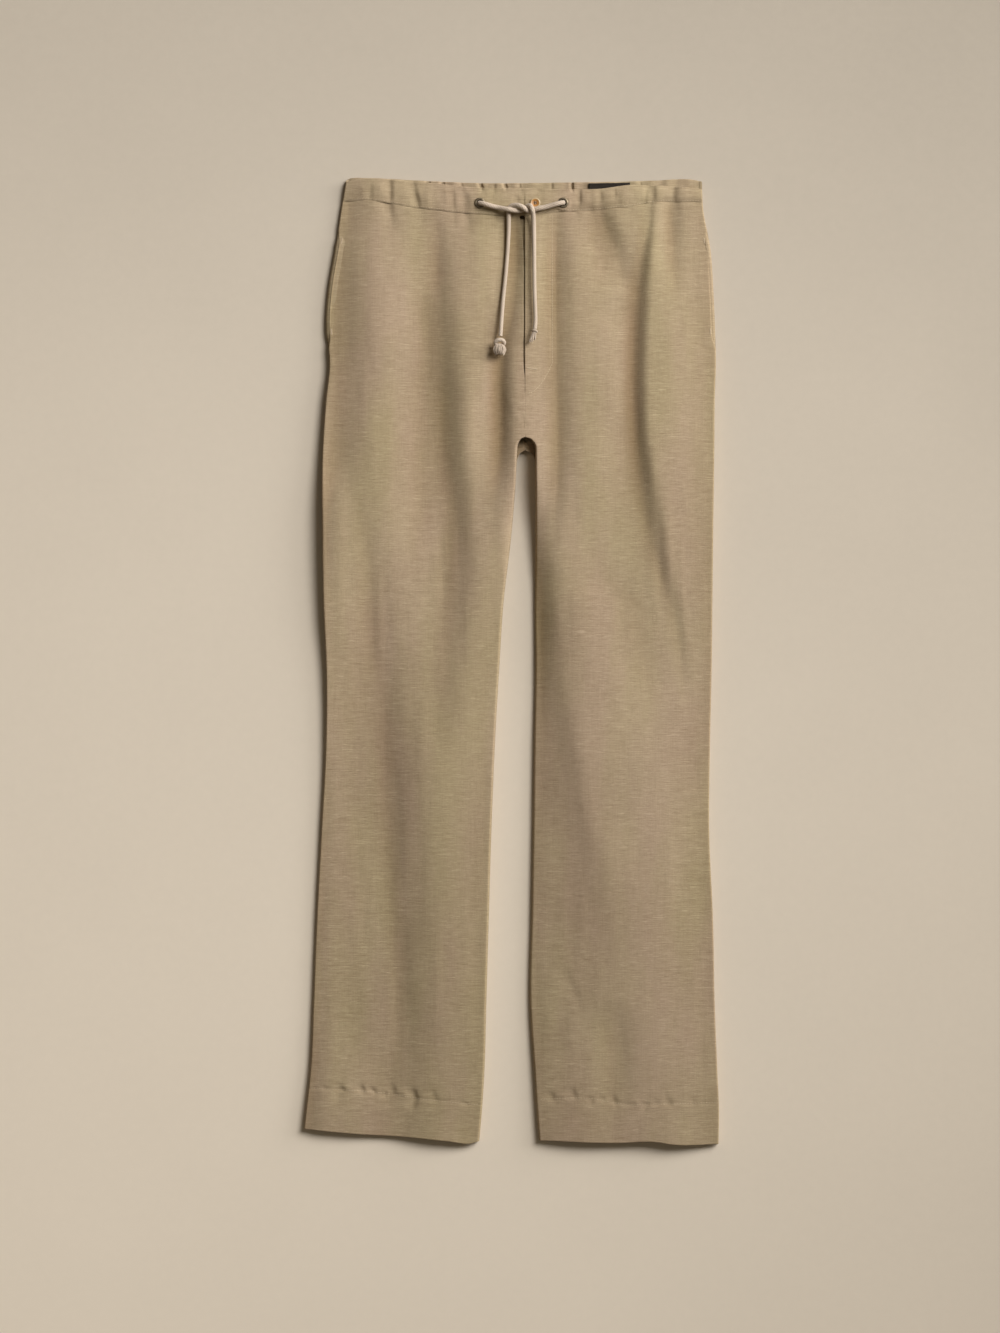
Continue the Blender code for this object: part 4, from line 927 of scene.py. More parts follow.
def band_height(x, down):
    """The front casing's height, with its gathers, its bulge and its flats under the eyelets."""
    share = band_share(x, down)
    lap = LAP_RISE * step(*LAP_START, share) * (x > 0)
    height = crest(x, down) + CASING_BULGE * np.sin(np.pi * share) + lap
    for middle, depth, reach, lean in FRONT_GATHERS:
        uneven = bumps(share * GATHER_TURNS, middle * GATHER_SPREAD, 1.0, 1.0, seed=17)
        strength = GATHER_SHARE * (1 + GATHER_UNEVENNESS * uneven)
        height = height - strength * depth * leaning(x - middle - lean * share, reach)
    for _, eyelet_x, eyelet_down in EYELETS:
        seat = crest(np.array(eyelet_x), np.array(eyelet_down))
        flat = seat + CASING_BULGE + LAP_RISE * (eyelet_x > 0)
        distance = np.hypot(x - eyelet_x, down - eyelet_down)
        near = 1 - step(EYELET_FLAT, EYELET_FLAT + EYELET_FADE, distance)
        height = height + (flat - height) * near
    return height


def rounded_crotch(down, crotch):
    """0 above the crotch and 1 once the leg's inner edge has turned down from it."""
    return np.sqrt(1 - (1 - np.clip((down - crotch) / CROTCH_ROUND, 0, 1)) ** 2)


def parting(down, crotch, reach):
    """0 where a panel meets its fellow at the centre and 1 where the legs have parted."""
    return step(crotch + reach[0], crotch + reach[1], down)


def edges(side, down, crotch):
    """Distances of a panel's outer and inner edges from the centre line, on one side."""
    right_outer, right_inner, left_inner, left_outer = np.moveaxis(smooth(SECTIONS, down), -1, 0)
    outer, inner = (right_outer, right_inner) if side < 0 else (left_outer, left_inner)
    return outer, np.maximum(inner * rounded_crotch(down, crotch), CENTRE_GAP / 2)


def stops(rows):
    """Each row's place down the leg, from a table of stops."""
    places = [np.array([rows[0][0]])]
    for (start, _), (end, count) in zip(rows, rows[1:]):
        places.append(np.linspace(start, end, count + 1)[1:])
    return np.concatenate(places)


def warp(x, nominal, top_shift):
    """Moves the rows near the waist and the hem onto the seam's and the hem's own lines."""
    to_seam = top_shift * (1 - step(NOMINAL_SEAM, SEAM_SHIFT_END, nominal))
    to_hem = (smooth(HEMS, x)[..., 0] - NOMINAL_HEM) * step(HEM_SHIFT_START, NOMINAL_HEM, nominal)
    return nominal + to_seam + to_hem


def pocket_share(down):
    """1 along a pocket's opening and 0 away from it."""
    return step(POCKET_TOP - POCKET_FADE, POCKET_TOP, down) * (
        1 - step(POCKET_BOTTOM, POCKET_BOTTOM + POCKET_FADE, down)
    )


def back_wave(x):
    """Height of the back casing's waves at their fullest."""
    phase = 2 * np.pi * BACK_WAVES * x / BACK_BAND_WIDTH
    uneven = phase + BACK_WAVE_DRIFT * np.sin(phase / BACK_WAVE_BEAT + 1)
    return BACK_WAVE_HEIGHT * 0.5 * (1 - np.cos(uneven))


def bumps(x, y, size_x, size_y, seed):
    """Smooth uneven heights from -1 to 1 on a seeded lattice with cells of the given size."""
    lattice = np.random.default_rng(seed).uniform(-1, 1, (LATTICE, LATTICE))
    u, v = np.broadcast_arrays(np.asarray(x, float) / size_x, np.asarray(y, float) / size_y)
    i, j = np.floor(u).astype(int), np.floor(v).astype(int)
    s, t = step(0, 1, u - i), step(0, 1, v - j)
    a, b, c, d = (
        lattice[(i + m) % LATTICE, (j + n) % LATTICE] for m, n in ((0, 0), (1, 0), (0, 1), (1, 1))
    )
    return (a * (1 - s) + b * s) * (1 - t) + (c * (1 - s) + d * s) * t


def ripple(x, down, kind):
    """Uneven heights of one kind: its height, slant, cell across, cell down and seed."""
    rise, slant, wide, long, seed = kind
    return rise * bumps(x + slant * down, down, wide, long, seed)


def crease_height(x, down, rows):
    """Heights of creases that are strongest in their middles and run out at both ends."""
    height = np.zeros(np.broadcast(x, down).shape)
    for start_x, start_down, end_x, end_down, bow, rise, reach in rows:
        run_x, run_down = end_x - start_x, end_down - start_down
        length = np.hypot(run_x, run_down)
        along = ((x - start_x) * run_x + (down - start_down) * run_down) / length**2
        t = np.clip(along, 0, 1)
        beside = ((x - start_x) * run_down - (down - start_down) * run_x) / length
        offset = beside - 4 * bow * t * (1 - t)
        height = height + rise * np.sin(np.pi * t) ** CREASE_FADE * leaning(offset, reach)
    return height


def waist_gathers(x, from_seam):
    """Heights of the gathers below the waist seam."""
    height = np.zeros(np.broadcast(x, from_seam).shape)
    for middle, rise, reach, length, lean in WAIST_GATHERS:
        t = np.clip(from_seam / length, 0, 1)
        offset = x - middle - lean * t
        height = height + rise * (1 - t) ** WAIST_GATHER_FADE * leaning(offset, reach * (1 + t))
    return height


def hem_puckers(x, from_stitch):
    """Heights of the puckers that the hem's stitching draws up, mostly above it."""
    height = np.zeros(np.broadcast(x, from_stitch).shape)
    for middle, rise, reach, length in HEM_PUCKERS:
        away = from_stitch / (PUCKER_LENGTH * length) + PUCKER_RISE
        offset = x - middle - PUCKER_LEAN * reach * away
        height = height + rise * np.exp(-(away**2)) * leaning(offset, reach)
    return height


def front_relief(x, down, seam):
    """What lies on the front's main folds: gathers, creases, hem puckers, grooves and ripples."""
    stitch = smooth(HEM_SEAMS, x)[..., 0]
    height = CREASE_SHARE * crease_height(x, down, CREASES)
    height = height + waist_gathers(x, down - seam)
    height = height + PUCKER_SHARE * hem_puckers(x, down - stitch)
    tension = 1 + STITCH_TENSION * bumps(x, 0.0, STITCH_TENSION_CELL, 1.0, seed=13)
    height = height - HEM_GROOVE * tension * np.exp(-(((down - stitch) / GROOVE_REACH) ** 2))
    height = height - SEAM_GROOVE * np.exp(-(((down - seam) / SEAM_GROOVE_REACH) ** 2))
    fly = FLY_STITCH * np.sqrt(np.clip((FLY_BOTTOM - down) / FLY_CURVE, 0, 1))
    on_fly = (x > 0) & (down < FLY_BOTTOM) & (down > seam)
    height = height - np.where(on_fly, FLY_GROOVE * np.exp(-(((x - fly) / GROOVE_REACH) ** 2)), 0)
    for kind in RIPPLES:
        height = height + ripple(x, down, kind)
    return height


# Meshes.
def quads(grid):
    """The faces between a grid's points."""
    corners = (grid[:-1, :-1], grid[:-1, 1:], grid[1:, 1:], grid[1:, :-1])
    return np.stack(corners, axis=-1).reshape(-1, 4).tolist()


def shell(name, shown, hidden, finish_name, every):
    """A closed wall between a shown face and a hidden one, with columns so many times apart."""
    rows, wide = shown.shape[:2]
    thin = hidden.shape[1]
    top = np.arange(rows * wide).reshape(rows, wide)
    under = rows * wide + np.arange(rows * thin).reshape(rows, thin)
    faces = quads(top) + quads(under[:, ::-1])
    for a, b in ((under[:, 0], top[:, 0]), (top[:, -1], under[:, -1])):
        faces += np.stack((a[:-1], b[:-1], b[1:], a[1:]), axis=-1).tolist()
    for row in (0, -1):
        for k in range(thin - 1):
            rim = list(top[row, k * every : (k + 1) * every + 1])
            faces.append(rim + [under[row, k + 1], under[row, k]])
    points = np.concatenate((shown.reshape(-1, 3), hidden.reshape(-1, 3)))
    return solid(name, points, faces, finish_name)


def hollow(x, down):
    """How much painted shade the cloth's colour takes: 0 on open cloth and 1 deep in a narrow valley of the front, as
    against both its sides.
    """
    around = (crest(x - HOLLOW_REACH, down) + crest(x + HOLLOW_REACH, down)) / 2
    return np.clip((around - crest(x, down)) / HOLLOW_DEPTH, 0, 1)


def mark_valley_shade(piece, x, down):
    """Stores each shown point's share of painted valley shade on a piece for its finish to read."""
    values = np.zeros(len(piece.data.vertices))
    values[: x.size] = hollow(x, down).ravel()
    piece.data.attributes.new("hollow", "FLOAT", "POINT").data.foreach_set("value", values)


def solid(name, points, faces, finish_name):
    """A mesh piece from points and faces, with its faces turned outwards."""
    mesh = bpy.data.meshes.new(name)
    mesh.from_pydata([tuple(p) for p in np.asarray(points, float)], [], faces)
    bm = bmesh.new()
    bm.from_mesh(mesh)
    bmesh.ops.recalc_face_normals(bm, faces=bm.faces)
    bm.to_mesh(mesh)
    bm.free()
    return add(name, mesh, finish_name)


def add(name, mesh, finish_name, angle=60):
    """Puts a mesh in the scene, riding on the one body, with its finish."""
    mesh.shade_smooth()
    mesh.set_sharp_from_angle(angle=np.radians(angle))
    piece = bpy.data.objects.new(name, mesh)
    mesh.materials.append(finish(finish_name))
    bpy.context.scene.collection.objects.link(piece)
    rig.ride(piece, "root")
    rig.slot(piece, SLOTS[finish_name])
    return piece


def rounded(faces, from_edge, wall, left=EDGE_LEFT):
    """Turns a wall's edge round, by how far each point of the two faces lies from it.

    The share left is what stays of the wall's thickness at the very edge.
    """
    t = np.clip(from_edge / (wall / 2), 0, 1)
    share = np.maximum(np.sqrt(1 - (1 - t) ** 2), left)
    shown, hidden = faces
    middle = (shown + hidden) / 2
    return middle + (shown - middle) * share, middle + (hidden - middle) * share


def tube(name, rings, finish_name):
    """A closed wall through rings of points, each out along one face and back along the other."""
    rings = np.asarray(rings, float)
    count, around = rings.shape[:2]
    grid = np.arange(count * around).reshape(count, around)
    faces = quads(np.column_stack((grid, grid[:, 0])))
    for ring in (grid[0], grid[-1]):
        for i in range(around // 2 - 1):
            faces.append([ring[i], ring[i + 1], ring[around - 2 - i], ring[around - 1 - i]])
    return solid(name, rings.reshape(-1, 3), faces, finish_name)


def turned(name, profile, centre, steps, finish_name):
    """A ring or disc turned about Z from a closed or axis-to-axis profile of (radius, height)."""
    mesh = bpy.data.meshes.new(name)
    bm = bmesh.new()
    points = [bm.verts.new((radius, 0, height)) for radius, height in profile]
    closed = profile[0][0] > 0
    pairs = list(zip(points, points[1:])) + ([(points[-1], points[0])] if closed else [])
    lines = [bm.edges.new(pair) for pair in pairs]
    bmesh.ops.spin(
        bm,
        geom=points + lines,
        cent=(0, 0, 0),
        axis=(0, 0, 1),
        angle=2 * np.pi,
        steps=steps,
        use_merge=True,
    )
    bmesh.ops.remove_doubles(bm, verts=bm.verts, dist=1e-6)
    bmesh.ops.recalc_face_normals(bm, faces=bm.faces)
    bmesh.ops.translate(bm, verts=bm.verts, vec=Vector(centre))
    bm.to_mesh(mesh)
    bm.free()
    return add(name, mesh, finish_name, angle=40)


def pierce(piece, x, down, radius, sides):
    """Cuts a round hole down through a piece."""
    mesh = bpy.data.meshes.new("cutter")
    bm = bmesh.new()
    bmesh.ops.create_cone(
        bm, cap_ends=True, segments=sides, radius1=radius, radius2=radius, depth=CUTTER_DEPTH
    )
    bm.to_mesh(mesh)
    bm.free()
    cutter = bpy.data.objects.new("cutter", mesh)
    cutter.location = place(x, down, CUTTER_HEIGHT)
    bpy.context.scene.collection.objects.link(cutter)
    cut = piece.modifiers.new("hole", "BOOLEAN")
    cut.operation = "DIFFERENCE"
    cut.solver = "EXACT"
    cut.object = cutter
    bpy.context.view_layer.update()
    depsgraph = bpy.context.evaluated_depsgraph_get()
    cut_mesh = bpy.data.meshes.new_from_object(piece.evaluated_get(depsgraph))
    piece.modifiers.clear()
    piece.data = cut_mesh
    bpy.data.objects.remove(cutter)


def panel_columns(outer, inner, outer_roll, inner_roll, outer_wall, inner_wall, steps, middle):
    """Distances from the centre line across each row of one face of a leg panel."""
    turn = 1 - np.cos(np.linspace(0, np.pi / 2, steps))
    spread = np.linspace(0, 1, middle + 1)[1:-1]
    from_outer = outer - outer_wall - (outer_roll - outer_wall) * turn
    from_inner = inner + inner_wall + (inner_roll - inner_wall) * turn
    between = (outer - outer_roll) + (inner + inner_roll - outer + outer_roll) * spread
    return np.concatenate((from_outer, between, from_inner[:, ::-1]), axis=1)


def roll_shares(count, steps):
    """How far each column has risen from the outer edge, and fallen to the inner one."""
    rise, fall = np.ones(count), np.ones(count)
    rise[:steps] = np.sin(np.linspace(0, np.pi / 2, steps))
    fall[-steps:] = rise[:steps][::-1]
    return rise, fall


def front_faces(side, wall):
    """A front's shown and hidden face: a crowned cloth whose sides roll down to the seams."""
    nominal = stops(FRONT_ROWS)[:, None]
    thick = wall + (HEM_CLOTH - CLOTH) * (nominal > NOMINAL_HEM - HEM_DEPTH)
    apart = parting(nominal, FRONT_CROTCH, FRONT_PARTING)
    inner_roll = CENTRE_ROLL + (INNER_ROLL - CENTRE_ROLL) * step(*INNER_ROLL_GROWTH, nominal)
    outer_n, inner_n = edges(side, nominal, FRONT_CROTCH)
    spots, heights = [], []
    for depth in (0, 1):
        walls = (depth * thick, depth * thick * apart)
        row = panel_columns(
            outer_n, inner_n, FRONT_ROLL, inner_roll, *walls, FRONT_ROLL_STEPS, FRONT_MIDDLE
        )
        rise, fall = roll_shares(row.shape[1], FRONT_ROLL_STEPS)
        across = (outer_n - row) / (outer_n - inner_n)
        top_shift = smooth(BAND, side * row)[..., 2] + CENTRE_GAP - NOMINAL_SEAM
        down = warp(side * row, nominal, top_shift)
        outer, inner = edges(side, down, FRONT_CROTCH)
        pocket = pocket_share(down)
        shift = POCKET_INSET * pocket
        gap = (smooth(FLY_GAP, down)[..., 0] - SEAM_GAP) * (down < FRONT_CROTCH) * (side < 0)
        distance = outer - shift + (inner + gap - outer + shift) * across
        x = side * distance
        seam = smooth(BAND, x)[..., 2] + CENTRE_GAP
        hem = smooth(HEMS, x)[..., 0]
        relief = front_relief(x, down, seam) * rise * fall
        top = crest(x, down) + fly_rise(x, down)
        face = (crest(x, down) - thick if depth else top) + relief
        outer_edge = SEAM_HEIGHT + POCKET_LIFT * pocket
        z = outer_edge + (face - outer_edge) * rise
        inner_edge = SEAM_HEIGHT * apart + face * (1 - apart)
        z = np.where(fall < 1, inner_edge + (face - inner_edge) * fall, z)
        from_edge = np.minimum(down - seam, hem - down)
        from_inner = np.where(apart < 0.5, distance - inner - gap, FAR)
        spots.append((x, down, np.clip(np.minimum(from_edge, from_inner), 0, None)))
        heights.append(z)
    left = np.where(nominal < (FRONT_CROTCH + NOMINAL_HEM) / 2, SEAM_LEFT, EDGE_LEFT)
    shown, hidden = rounded(heights, spots[0][2], thick, left)
    return place(*spots[0][:2], shown), place(*spots[1][:2], hidden)


class MakeFronts(bpy.types.Operator):
    """Makes both front panels, with their folds, gathers, creases and hem puckers"""

    bl_idname = "trousers.make_fronts"
    bl_label = "Fronts"

    def execute(self, context):
        wall = context.scene.trousers_cloth.wall
        for side, name in SIDES:
            shown, hidden = front_faces(side, wall)
            hidden = hidden[:, ::HIDDEN_EVERY]
            piece = shell(f"linen_front_{name}", shown, hidden, "linen", HIDDEN_EVERY)
            # Stores where the finish paints shade into the front's narrow valleys.
            mark_valley_shade(piece, shown[..., 0] - CENTRE_X, WAIST_Y - shown[..., 1])
            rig.replaces(piece, f"front_{name}")
            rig.sheet(
                piece,
                flat=(0.234, 1.050),
                held="laid",
                rests_on=[f"back_{name}"],
                area=FRONT_AREAS[name],
            )
        return {"FINISHED"}


def back_faces(side, wall):
    """A back's outer and inner face: flat below, with its sides curled up to the seams."""
    nominal = stops(BACK_ROWS)[:, None]
    thick = wall + (HEM_CLOTH - CLOTH) * (nominal > NOMINAL_HEM - HEM_DEPTH)
    apart = parting(nominal, BACK_CROTCH, BACK_PARTING)
    inner_roll = CENTRE_ROLL + (BACK_ROLL - CENTRE_ROLL) * apart
    outer_n, inner_n = edges(side, nominal, BACK_CROTCH)
    rim = SEAM_HEIGHT - SEAM_GAP
    spots, heights = [], []
    for depth in (0, 1):
        walls = (depth * thick, depth * thick * apart)
        row = panel_columns(
            outer_n, inner_n, BACK_ROLL, inner_roll, *walls, BACK_ROLL_STEPS, BACK_MIDDLE
        )
        rise, fall = roll_shares(row.shape[1], BACK_ROLL_STEPS)
        across = (outer_n - row) / (outer_n - inner_n)
        down = warp(side * row, nominal, SEAM_GAP * (nominal <= BACK_SEAM))
        outer, inner = edges(side, down, BACK_CROTCH)
        distance = outer + (inner - outer) * across
        x = side * distance
        hem = smooth(HEMS, x)[..., 0]
        lift = back_relief(x, down) * rise * fall
        face = (thick if depth else 0.0) + lift
        z = face + (rim - face) * (1 - rise) + (rim - face) * apart * (1 - fall)
        z = z + crotch_bulge(x, down)
        from_edge = np.minimum(down - BACK_SEAM - SEAM_GAP, hem - down)
        from_inner = np.where(apart < 0.5, distance - inner, FAR)
        spots.append((x, down, np.clip(np.minimum(from_edge, from_inner), 0, None)))
        heights.append(z)
    outer_face, inner_face = rounded(heights, spots[0][2], thick)
    return place(*spots[0][:2], outer_face), place(*spots[1][:2], inner_face)


def back_relief(x, down):
    """Creases of the backs, which only lift off the surface that the trousers lie on."""
    height = crease_height(x, down, BACK_CREASES)
    stitch = smooth(HEM_SEAMS, x)[..., 0]
    height = height + BACK_STITCH_RISE * np.exp(-(((down - stitch) / GROOVE_REACH) ** 2))
    puckers = hem_puckers(x * BACK_PUCKER_SPREAD + BACK_PUCKER_SHIFT, down - stitch)
    height = height + np.maximum(0, -BACK_PUCKER_SHARE * puckers)
    return height + BACK_RIPPLE * (1 + bumps(x, down, *BACK_RIPPLE_CELLS, seed=11))


def crotch_bulge(x, down):
    """How far the backs push up into the gap between the legs, with their creases there."""
    near = np.exp(-((x / CROTCH_BULGE_WIDE) ** 2)) * step(*CROTCH_BULGE_START, down)
    near = near * step(*CROTCH_BULGE_END, down)
    return near * CROTCH_BULGE + crease_height(x, down, CROTCH_CREASES)


class MakeBacks(bpy.types.Operator):
    """Makes both back panels, which lie flat below the fronts"""

    bl_idname = "trousers.make_backs"
    bl_label = "Backs"

    def execute(self, context):
        wall = context.scene.trousers_cloth.wall
        for side, name in SIDES:
            outer, inner = back_faces(side, wall)
            piece = shell(f"linen_back_{name}", outer, inner, "linen", 1)
            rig.replaces(piece, f"back_{name}")
            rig.sheet(piece, flat=(0.232, 1.045), held="laid", rests_on=["floor"], area=0.2260)
        return {"FINISHED"}


# Creases in the front casing, as they are read in CREASES.
CASING_CREASES = (
    (-0.151, 0.001, -0.151, 0.026, 0.0, -0.0011, 0.0028),
    (-0.173, 0.001, -0.1735, 0.024, 0.0, -0.0007, 0.003),
    (-0.163, 0.002, -0.16, 0.018, 0.0, 0.0006, 0.003),
    (-0.125, 0.01, -0.1185, 0.032, 0.0006, -0.0011, 0.003),
    (-0.11, 0.012, -0.108, 0.032, 0.0004, 0.0006, 0.004),
    (-0.081, 0.01, -0.0805, 0.032, 0.0003, -0.0008, 0.0026),
    (-0.093, 0.008, -0.09, 0.03, 0.0004, -0.0005, 0.003),
    (-0.068, 0.01, -0.064, 0.034, 0.0003, -0.0012, 0.0034),
    (-0.0496, 0.006, -0.0468, 0.012, 0.0, -0.0011, 0.0012),
    (-0.035, 0.003, -0.034, 0.015, 0.0, -0.0006, 0.0018),
    (-0.0226, 0.005, -0.0204, 0.011, 0.0, -0.001, 0.0011),
    (-0.0084, 0.016, -0.0084, 0.027, 0.0, -0.0007, 0.0022),
    (-0.0045, 0.006, -0.0045, 0.018, 0.0, -0.0006, 0.0034),
    (0.0151, 0.005, 0.0151, 0.016, 0.0, -0.0006, 0.003),
    (0.0302, 0.002, 0.03, 0.011, 0.0, -0.0007, 0.0014),
    (0.053, 0.001, 0.0535, 0.014, 0.0, -0.0012, 0.0011),
    (0.0613, 0.008, 0.061, 0.028, 0.0, -0.0012, 0.0022),
    (0.069, 0.008, 0.069, 0.028, 0.0, 0.0005, 0.003),
    (0.083, 0.01, 0.084, 0.026, 0.0016, -0.0008, 0.0022),
    (0.099, 0.008, 0.1, 0.022, 0.0014, -0.0007, 0.002),
    (0.132, 0.006, 0.131, 0.025, 0.0, 0.0007, 0.003),
    (0.1439, 0.004, 0.1439, 0.026, 0.0, -0.0013, 0.0028),
    (0.1669, 0.004, 0.1669, 0.026, 0.0, -0.0009, 0.0026),
    (0.18, 0.004, 0.18, 0.026, 0.0, 0.0004, 0.003),
)

# Folds of the back casing where it is drawn up, which show above the front one.
BACK_CASING_CREASES = (
    (-0.109, -0.005, -0.1078, 0.01, 0.0, -0.0034, 0.0016),
    (-0.0928, -0.005, -0.0912, 0.012, 0.0, -0.0034, 0.0015),
    (-0.053, -0.005, -0.045, 0.014, 0.0, -0.004, 0.0013),
    (-0.034, 0.0, -0.034, 0.01, 0.0, -0.0008, 0.0012),
    (-0.026, -0.006, -0.019, 0.011, 0.0, -0.0038, 0.0012),
    (-0.0058, 0.0, -0.0058, 0.01, 0.0, -0.001, 0.0012),
    (0.0302, 0.0, 0.0305, 0.012, 0.0, -0.001, 0.0012),
    (0.053, -0.004, 0.0534, 0.014, 0.0, -0.003, 0.0011),
    (-0.135, -0.002, -0.135, 0.01, 0.0, -0.0008, 0.0014),
    (-0.072, -0.001, -0.07, 0.01, 0.0, -0.0009, 0.0014),
    (0.13, -0.002, 0.13, 0.01, 0.0, -0.0008, 0.0014),
)

# A casing's rows, as shares of its height, the steps round its top fold, and its columns' spacing.
CASING_ROWS = np.concatenate(
    (np.array((0.0, 0.004, 0.012, 0.025, 0.045)), np.linspace(0.075, 1.0, 17))
)
CASING_FOLD_STEPS = 6
CASING_STATION = 0.0006
EYELET_FIT_SIDES = 48


def casing_ring(outer, inner, top, seam):
    """One section of a casing: up its shown face, over its top fold and down its hidden face.

    outer and inner give the x, the place down and the height of each face at a distance down.
    """
    radius = CASING / 2
    down = seam + (top + radius - seam) * CASING_ROWS
    x, along, shown = outer(down)
    hidden_x, hidden_along, hidden = inner(down)
    shown, hidden = rounded((shown, hidden), seam - down, CASING, SEAM_LEFT)
    faces = place(x, along, shown), place(hidden_x, hidden_along, hidden)
    angles = np.linspace(np.pi / 2, -np.pi / 2, CASING_FOLD_STEPS + 2)[1:-1]
    low, high = faces[1][-1], faces[0][-1]
    fold = low + (high - low) * (1 + np.sin(angles))[:, None] / 2
    fold[:, 1] += radius * np.cos(angles)
    return np.concatenate((faces[0], fold, faces[1][::-1]))


def casing_top(x, down):
    """The front casing's height with its fine creases."""
    share = band_share(x, down)
    lap = LAP_RISE * step(*LAP_TUCK, share) * (x > 0) * step(*LAP_TUCK_X, x)
    clear = np.ones(np.broadcast(x, down).shape)
    for _, eyelet_x, eyelet_down in EYELETS:
        distance = np.hypot(x - eyelet_x, down - eyelet_down)
        clear = clear * step(EYELET_FLANGE_RADIUS, EYELET_FLAT, distance)
    fine = crease_height(x, down, CASING_CREASES) + ripple(x, down, CASING_RIPPLE)
    edge = TOP_LINE * np.exp(-(((share - TOP_LINE_SHARE) / TOP_LINE_REACH) ** 2))
    return band_height(x, down) - lap + (fine - edge) * clear


class MakeFrontCasings(bpy.types.Operator):
    """Makes both halves of the gathered front casing, pierced for the eyelets"""

    bl_idname = "trousers.make_front_casings"
    bl_label = "Front casing"

    def execute(self, context):
        for side, name in SIDES:
            rings = []

            def add_ring(distance_at, turn):
                def face(wall):
                    def at(down):
                        outer = edges(side, down, FRONT_CROTCH)[0]
                        x = side * distance_at(outer, wall)
                        height = casing_top(x, down) - wall
                        return x, down, SEAM_HEIGHT + (height - SEAM_HEIGHT) * turn

                    return at

                middle = side * distance_at(edges(side, NOMINAL_SEAM, FRONT_CROTCH)[0], 0)
                top, _, seam = smooth(BAND, middle)
                rings.append(casing_ring(face(0), face(CASING), top, seam))

            for angle in np.linspace(0, np.pi / 2, FRONT_ROLL_STEPS):
                turn = 1 - np.cos(angle)
                add_ring(
                    lambda outer, wall: outer - wall - (FRONT_ROLL - wall) * turn, np.sin(angle)
                )
            count = round(FRONT_BAND_REACH / CASING_STATION)
            for station in np.linspace(FRONT_BAND_REACH, SEAM_GAP / 2, count):
                add_ring(lambda outer, wall: np.full(np.shape(outer), station), 1.0)
            piece = tube(f"linen_casing_front_{name}", rings, "linen")
            for _, x, down in EYELETS:
                if x * side > 0:
                    pierce(piece, x, down, EYELET_BARREL_RADIUS + SEAM_GAP, EYELET_FIT_SIDES)
            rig.replaces(piece, f"waistband_front_{name}")
            flat = {"right": (0.206, 0.034), "left": (0.200, 0.028)}[name]
            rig.sheet(piece, flat=flat, held="gathered", rests_on=["waistband_back"])
        return {"FINISHED"}


# Thickness that is left where a crease presses the back casing flat.
PRESSED_CASING = 0.0006


class MakeBackCasing(bpy.types.Operator):
    """Makes the back casing, drawn up in waves between the two side seams"""

    bl_idname = "trousers.make_back_casing"
    bl_label = "Back casing"

    def execute(self, context):
        rim = SEAM_HEIGHT - SEAM_GAP
        seam = BACK_SEAM - SEAM_GAP
        rings = []

        def add_ring(x_at, turn):
            middle = float(np.mean(x_at(NOMINAL_SEAM / 2, 0)))
            _, top, _ = smooth(BAND, middle)

            def face(wall):
                def at(down):
                    x = np.broadcast_to(x_at(down, wall), np.shape(down))
                    share = np.clip((seam - down) / (seam - top), 0, 1)
                    fullness = LOWEST_FULLNESS + (1 - LOWEST_FULLNESS) * share
                    lifted = back_wave(x) * fullness * (turn == 1.0)
                    fine = crease_height(x, down, BACK_CASING_CREASES)
                    fine = fine + ripple(x, down, BACK_CASING_RIPPLE) * (turn == 1.0)
                    shown = np.maximum(lifted + CASING + fine, PRESSED_CASING)
                    height = shown if wall else np.minimum(lifted, shown - PRESSED_CASING)
                    return x, down, height + (rim - height) * (1 - turn)

                return at

            rings.append(casing_ring(face(0), face(CASING), top, seam))

        def rolled(side, angle):
            def at(down, wall):
                outer = edges(side, down, BACK_CROTCH)[0]
                return side * (outer - wall - (BACK_ROLL - wall) * (1 - np.cos(angle)))

            return at

        angles = np.linspace(0, np.pi / 2, BACK_ROLL_STEPS)
        for angle in angles:
            add_ring(rolled(-1, angle), np.sin(angle))
        count = round(2 * BACK_BAND_REACH / CASING_STATION)
        for station in np.linspace(-BACK_BAND_REACH, BACK_BAND_REACH, count):
            add_ring(lambda down, wall: station, 1.0)
        for angle in angles[::-1]:
            add_ring(rolled(1, angle), np.sin(angle))
        piece = tube("linen_casing_back", rings, "linen")
        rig.replaces(piece, "waistband_back")
        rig.sheet(piece, flat=(0.405, 0.036), held="gathered", rests_on=["floor"])
        return {"FINISHED"}


class MakeFacings(bpy.types.Operator):
    """Makes the pocket facings, which show beyond the fronts' edges at the side seams"""

    bl_idname = "trousers.make_facings"
    bl_label = "Pocket facings"

    def execute(self, context):
        wall = context.scene.trousers_cloth.wall
        angles = np.linspace(0, np.pi / 2, FACING_ROLL_STEPS)
        level = np.linspace(0, 1, FACING_ROLL_STEPS)[1:]
        rise = np.concatenate((np.sin(angles), np.ones(FACING_ROLL_STEPS - 1)))
        span = POCKET_TOP - POCKET_FADE, POCKET_BOTTOM + POCKET_FADE
        for side, name in SIDES:
            down = np.linspace(*span, FACING_ROWS)[:, None]
            open_share = pocket_share(down)
            outer = edges(side, down, FRONT_CROTCH)[0] - FACING_TUCK * (1 - open_share)
            faces = []
            for depth in (0, wall):
                roll = FACING_ROLL - depth
                curl = outer - depth - roll * (1 - np.cos(angles))
                flat = outer - FACING_ROLL - (FACING_WIDTH - FACING_ROLL) * level
                top = FACING_LOW + (FACING_RISE - FACING_LOW) * open_share
                z = SEAM_HEIGHT + (top - depth) * rise
                faces.append(place(side * np.concatenate((curl, flat), axis=1), down, z))
            piece = shell(f"linen_facing_{name}", *faces, "linen", 1)
            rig.replaces(piece, f"pocket_facing_{name}")
            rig.sheet(piece, flat=(0.011, 0.140), held="laid", rests_on=[f"back_{name}"])
        return {"FINISHED"}


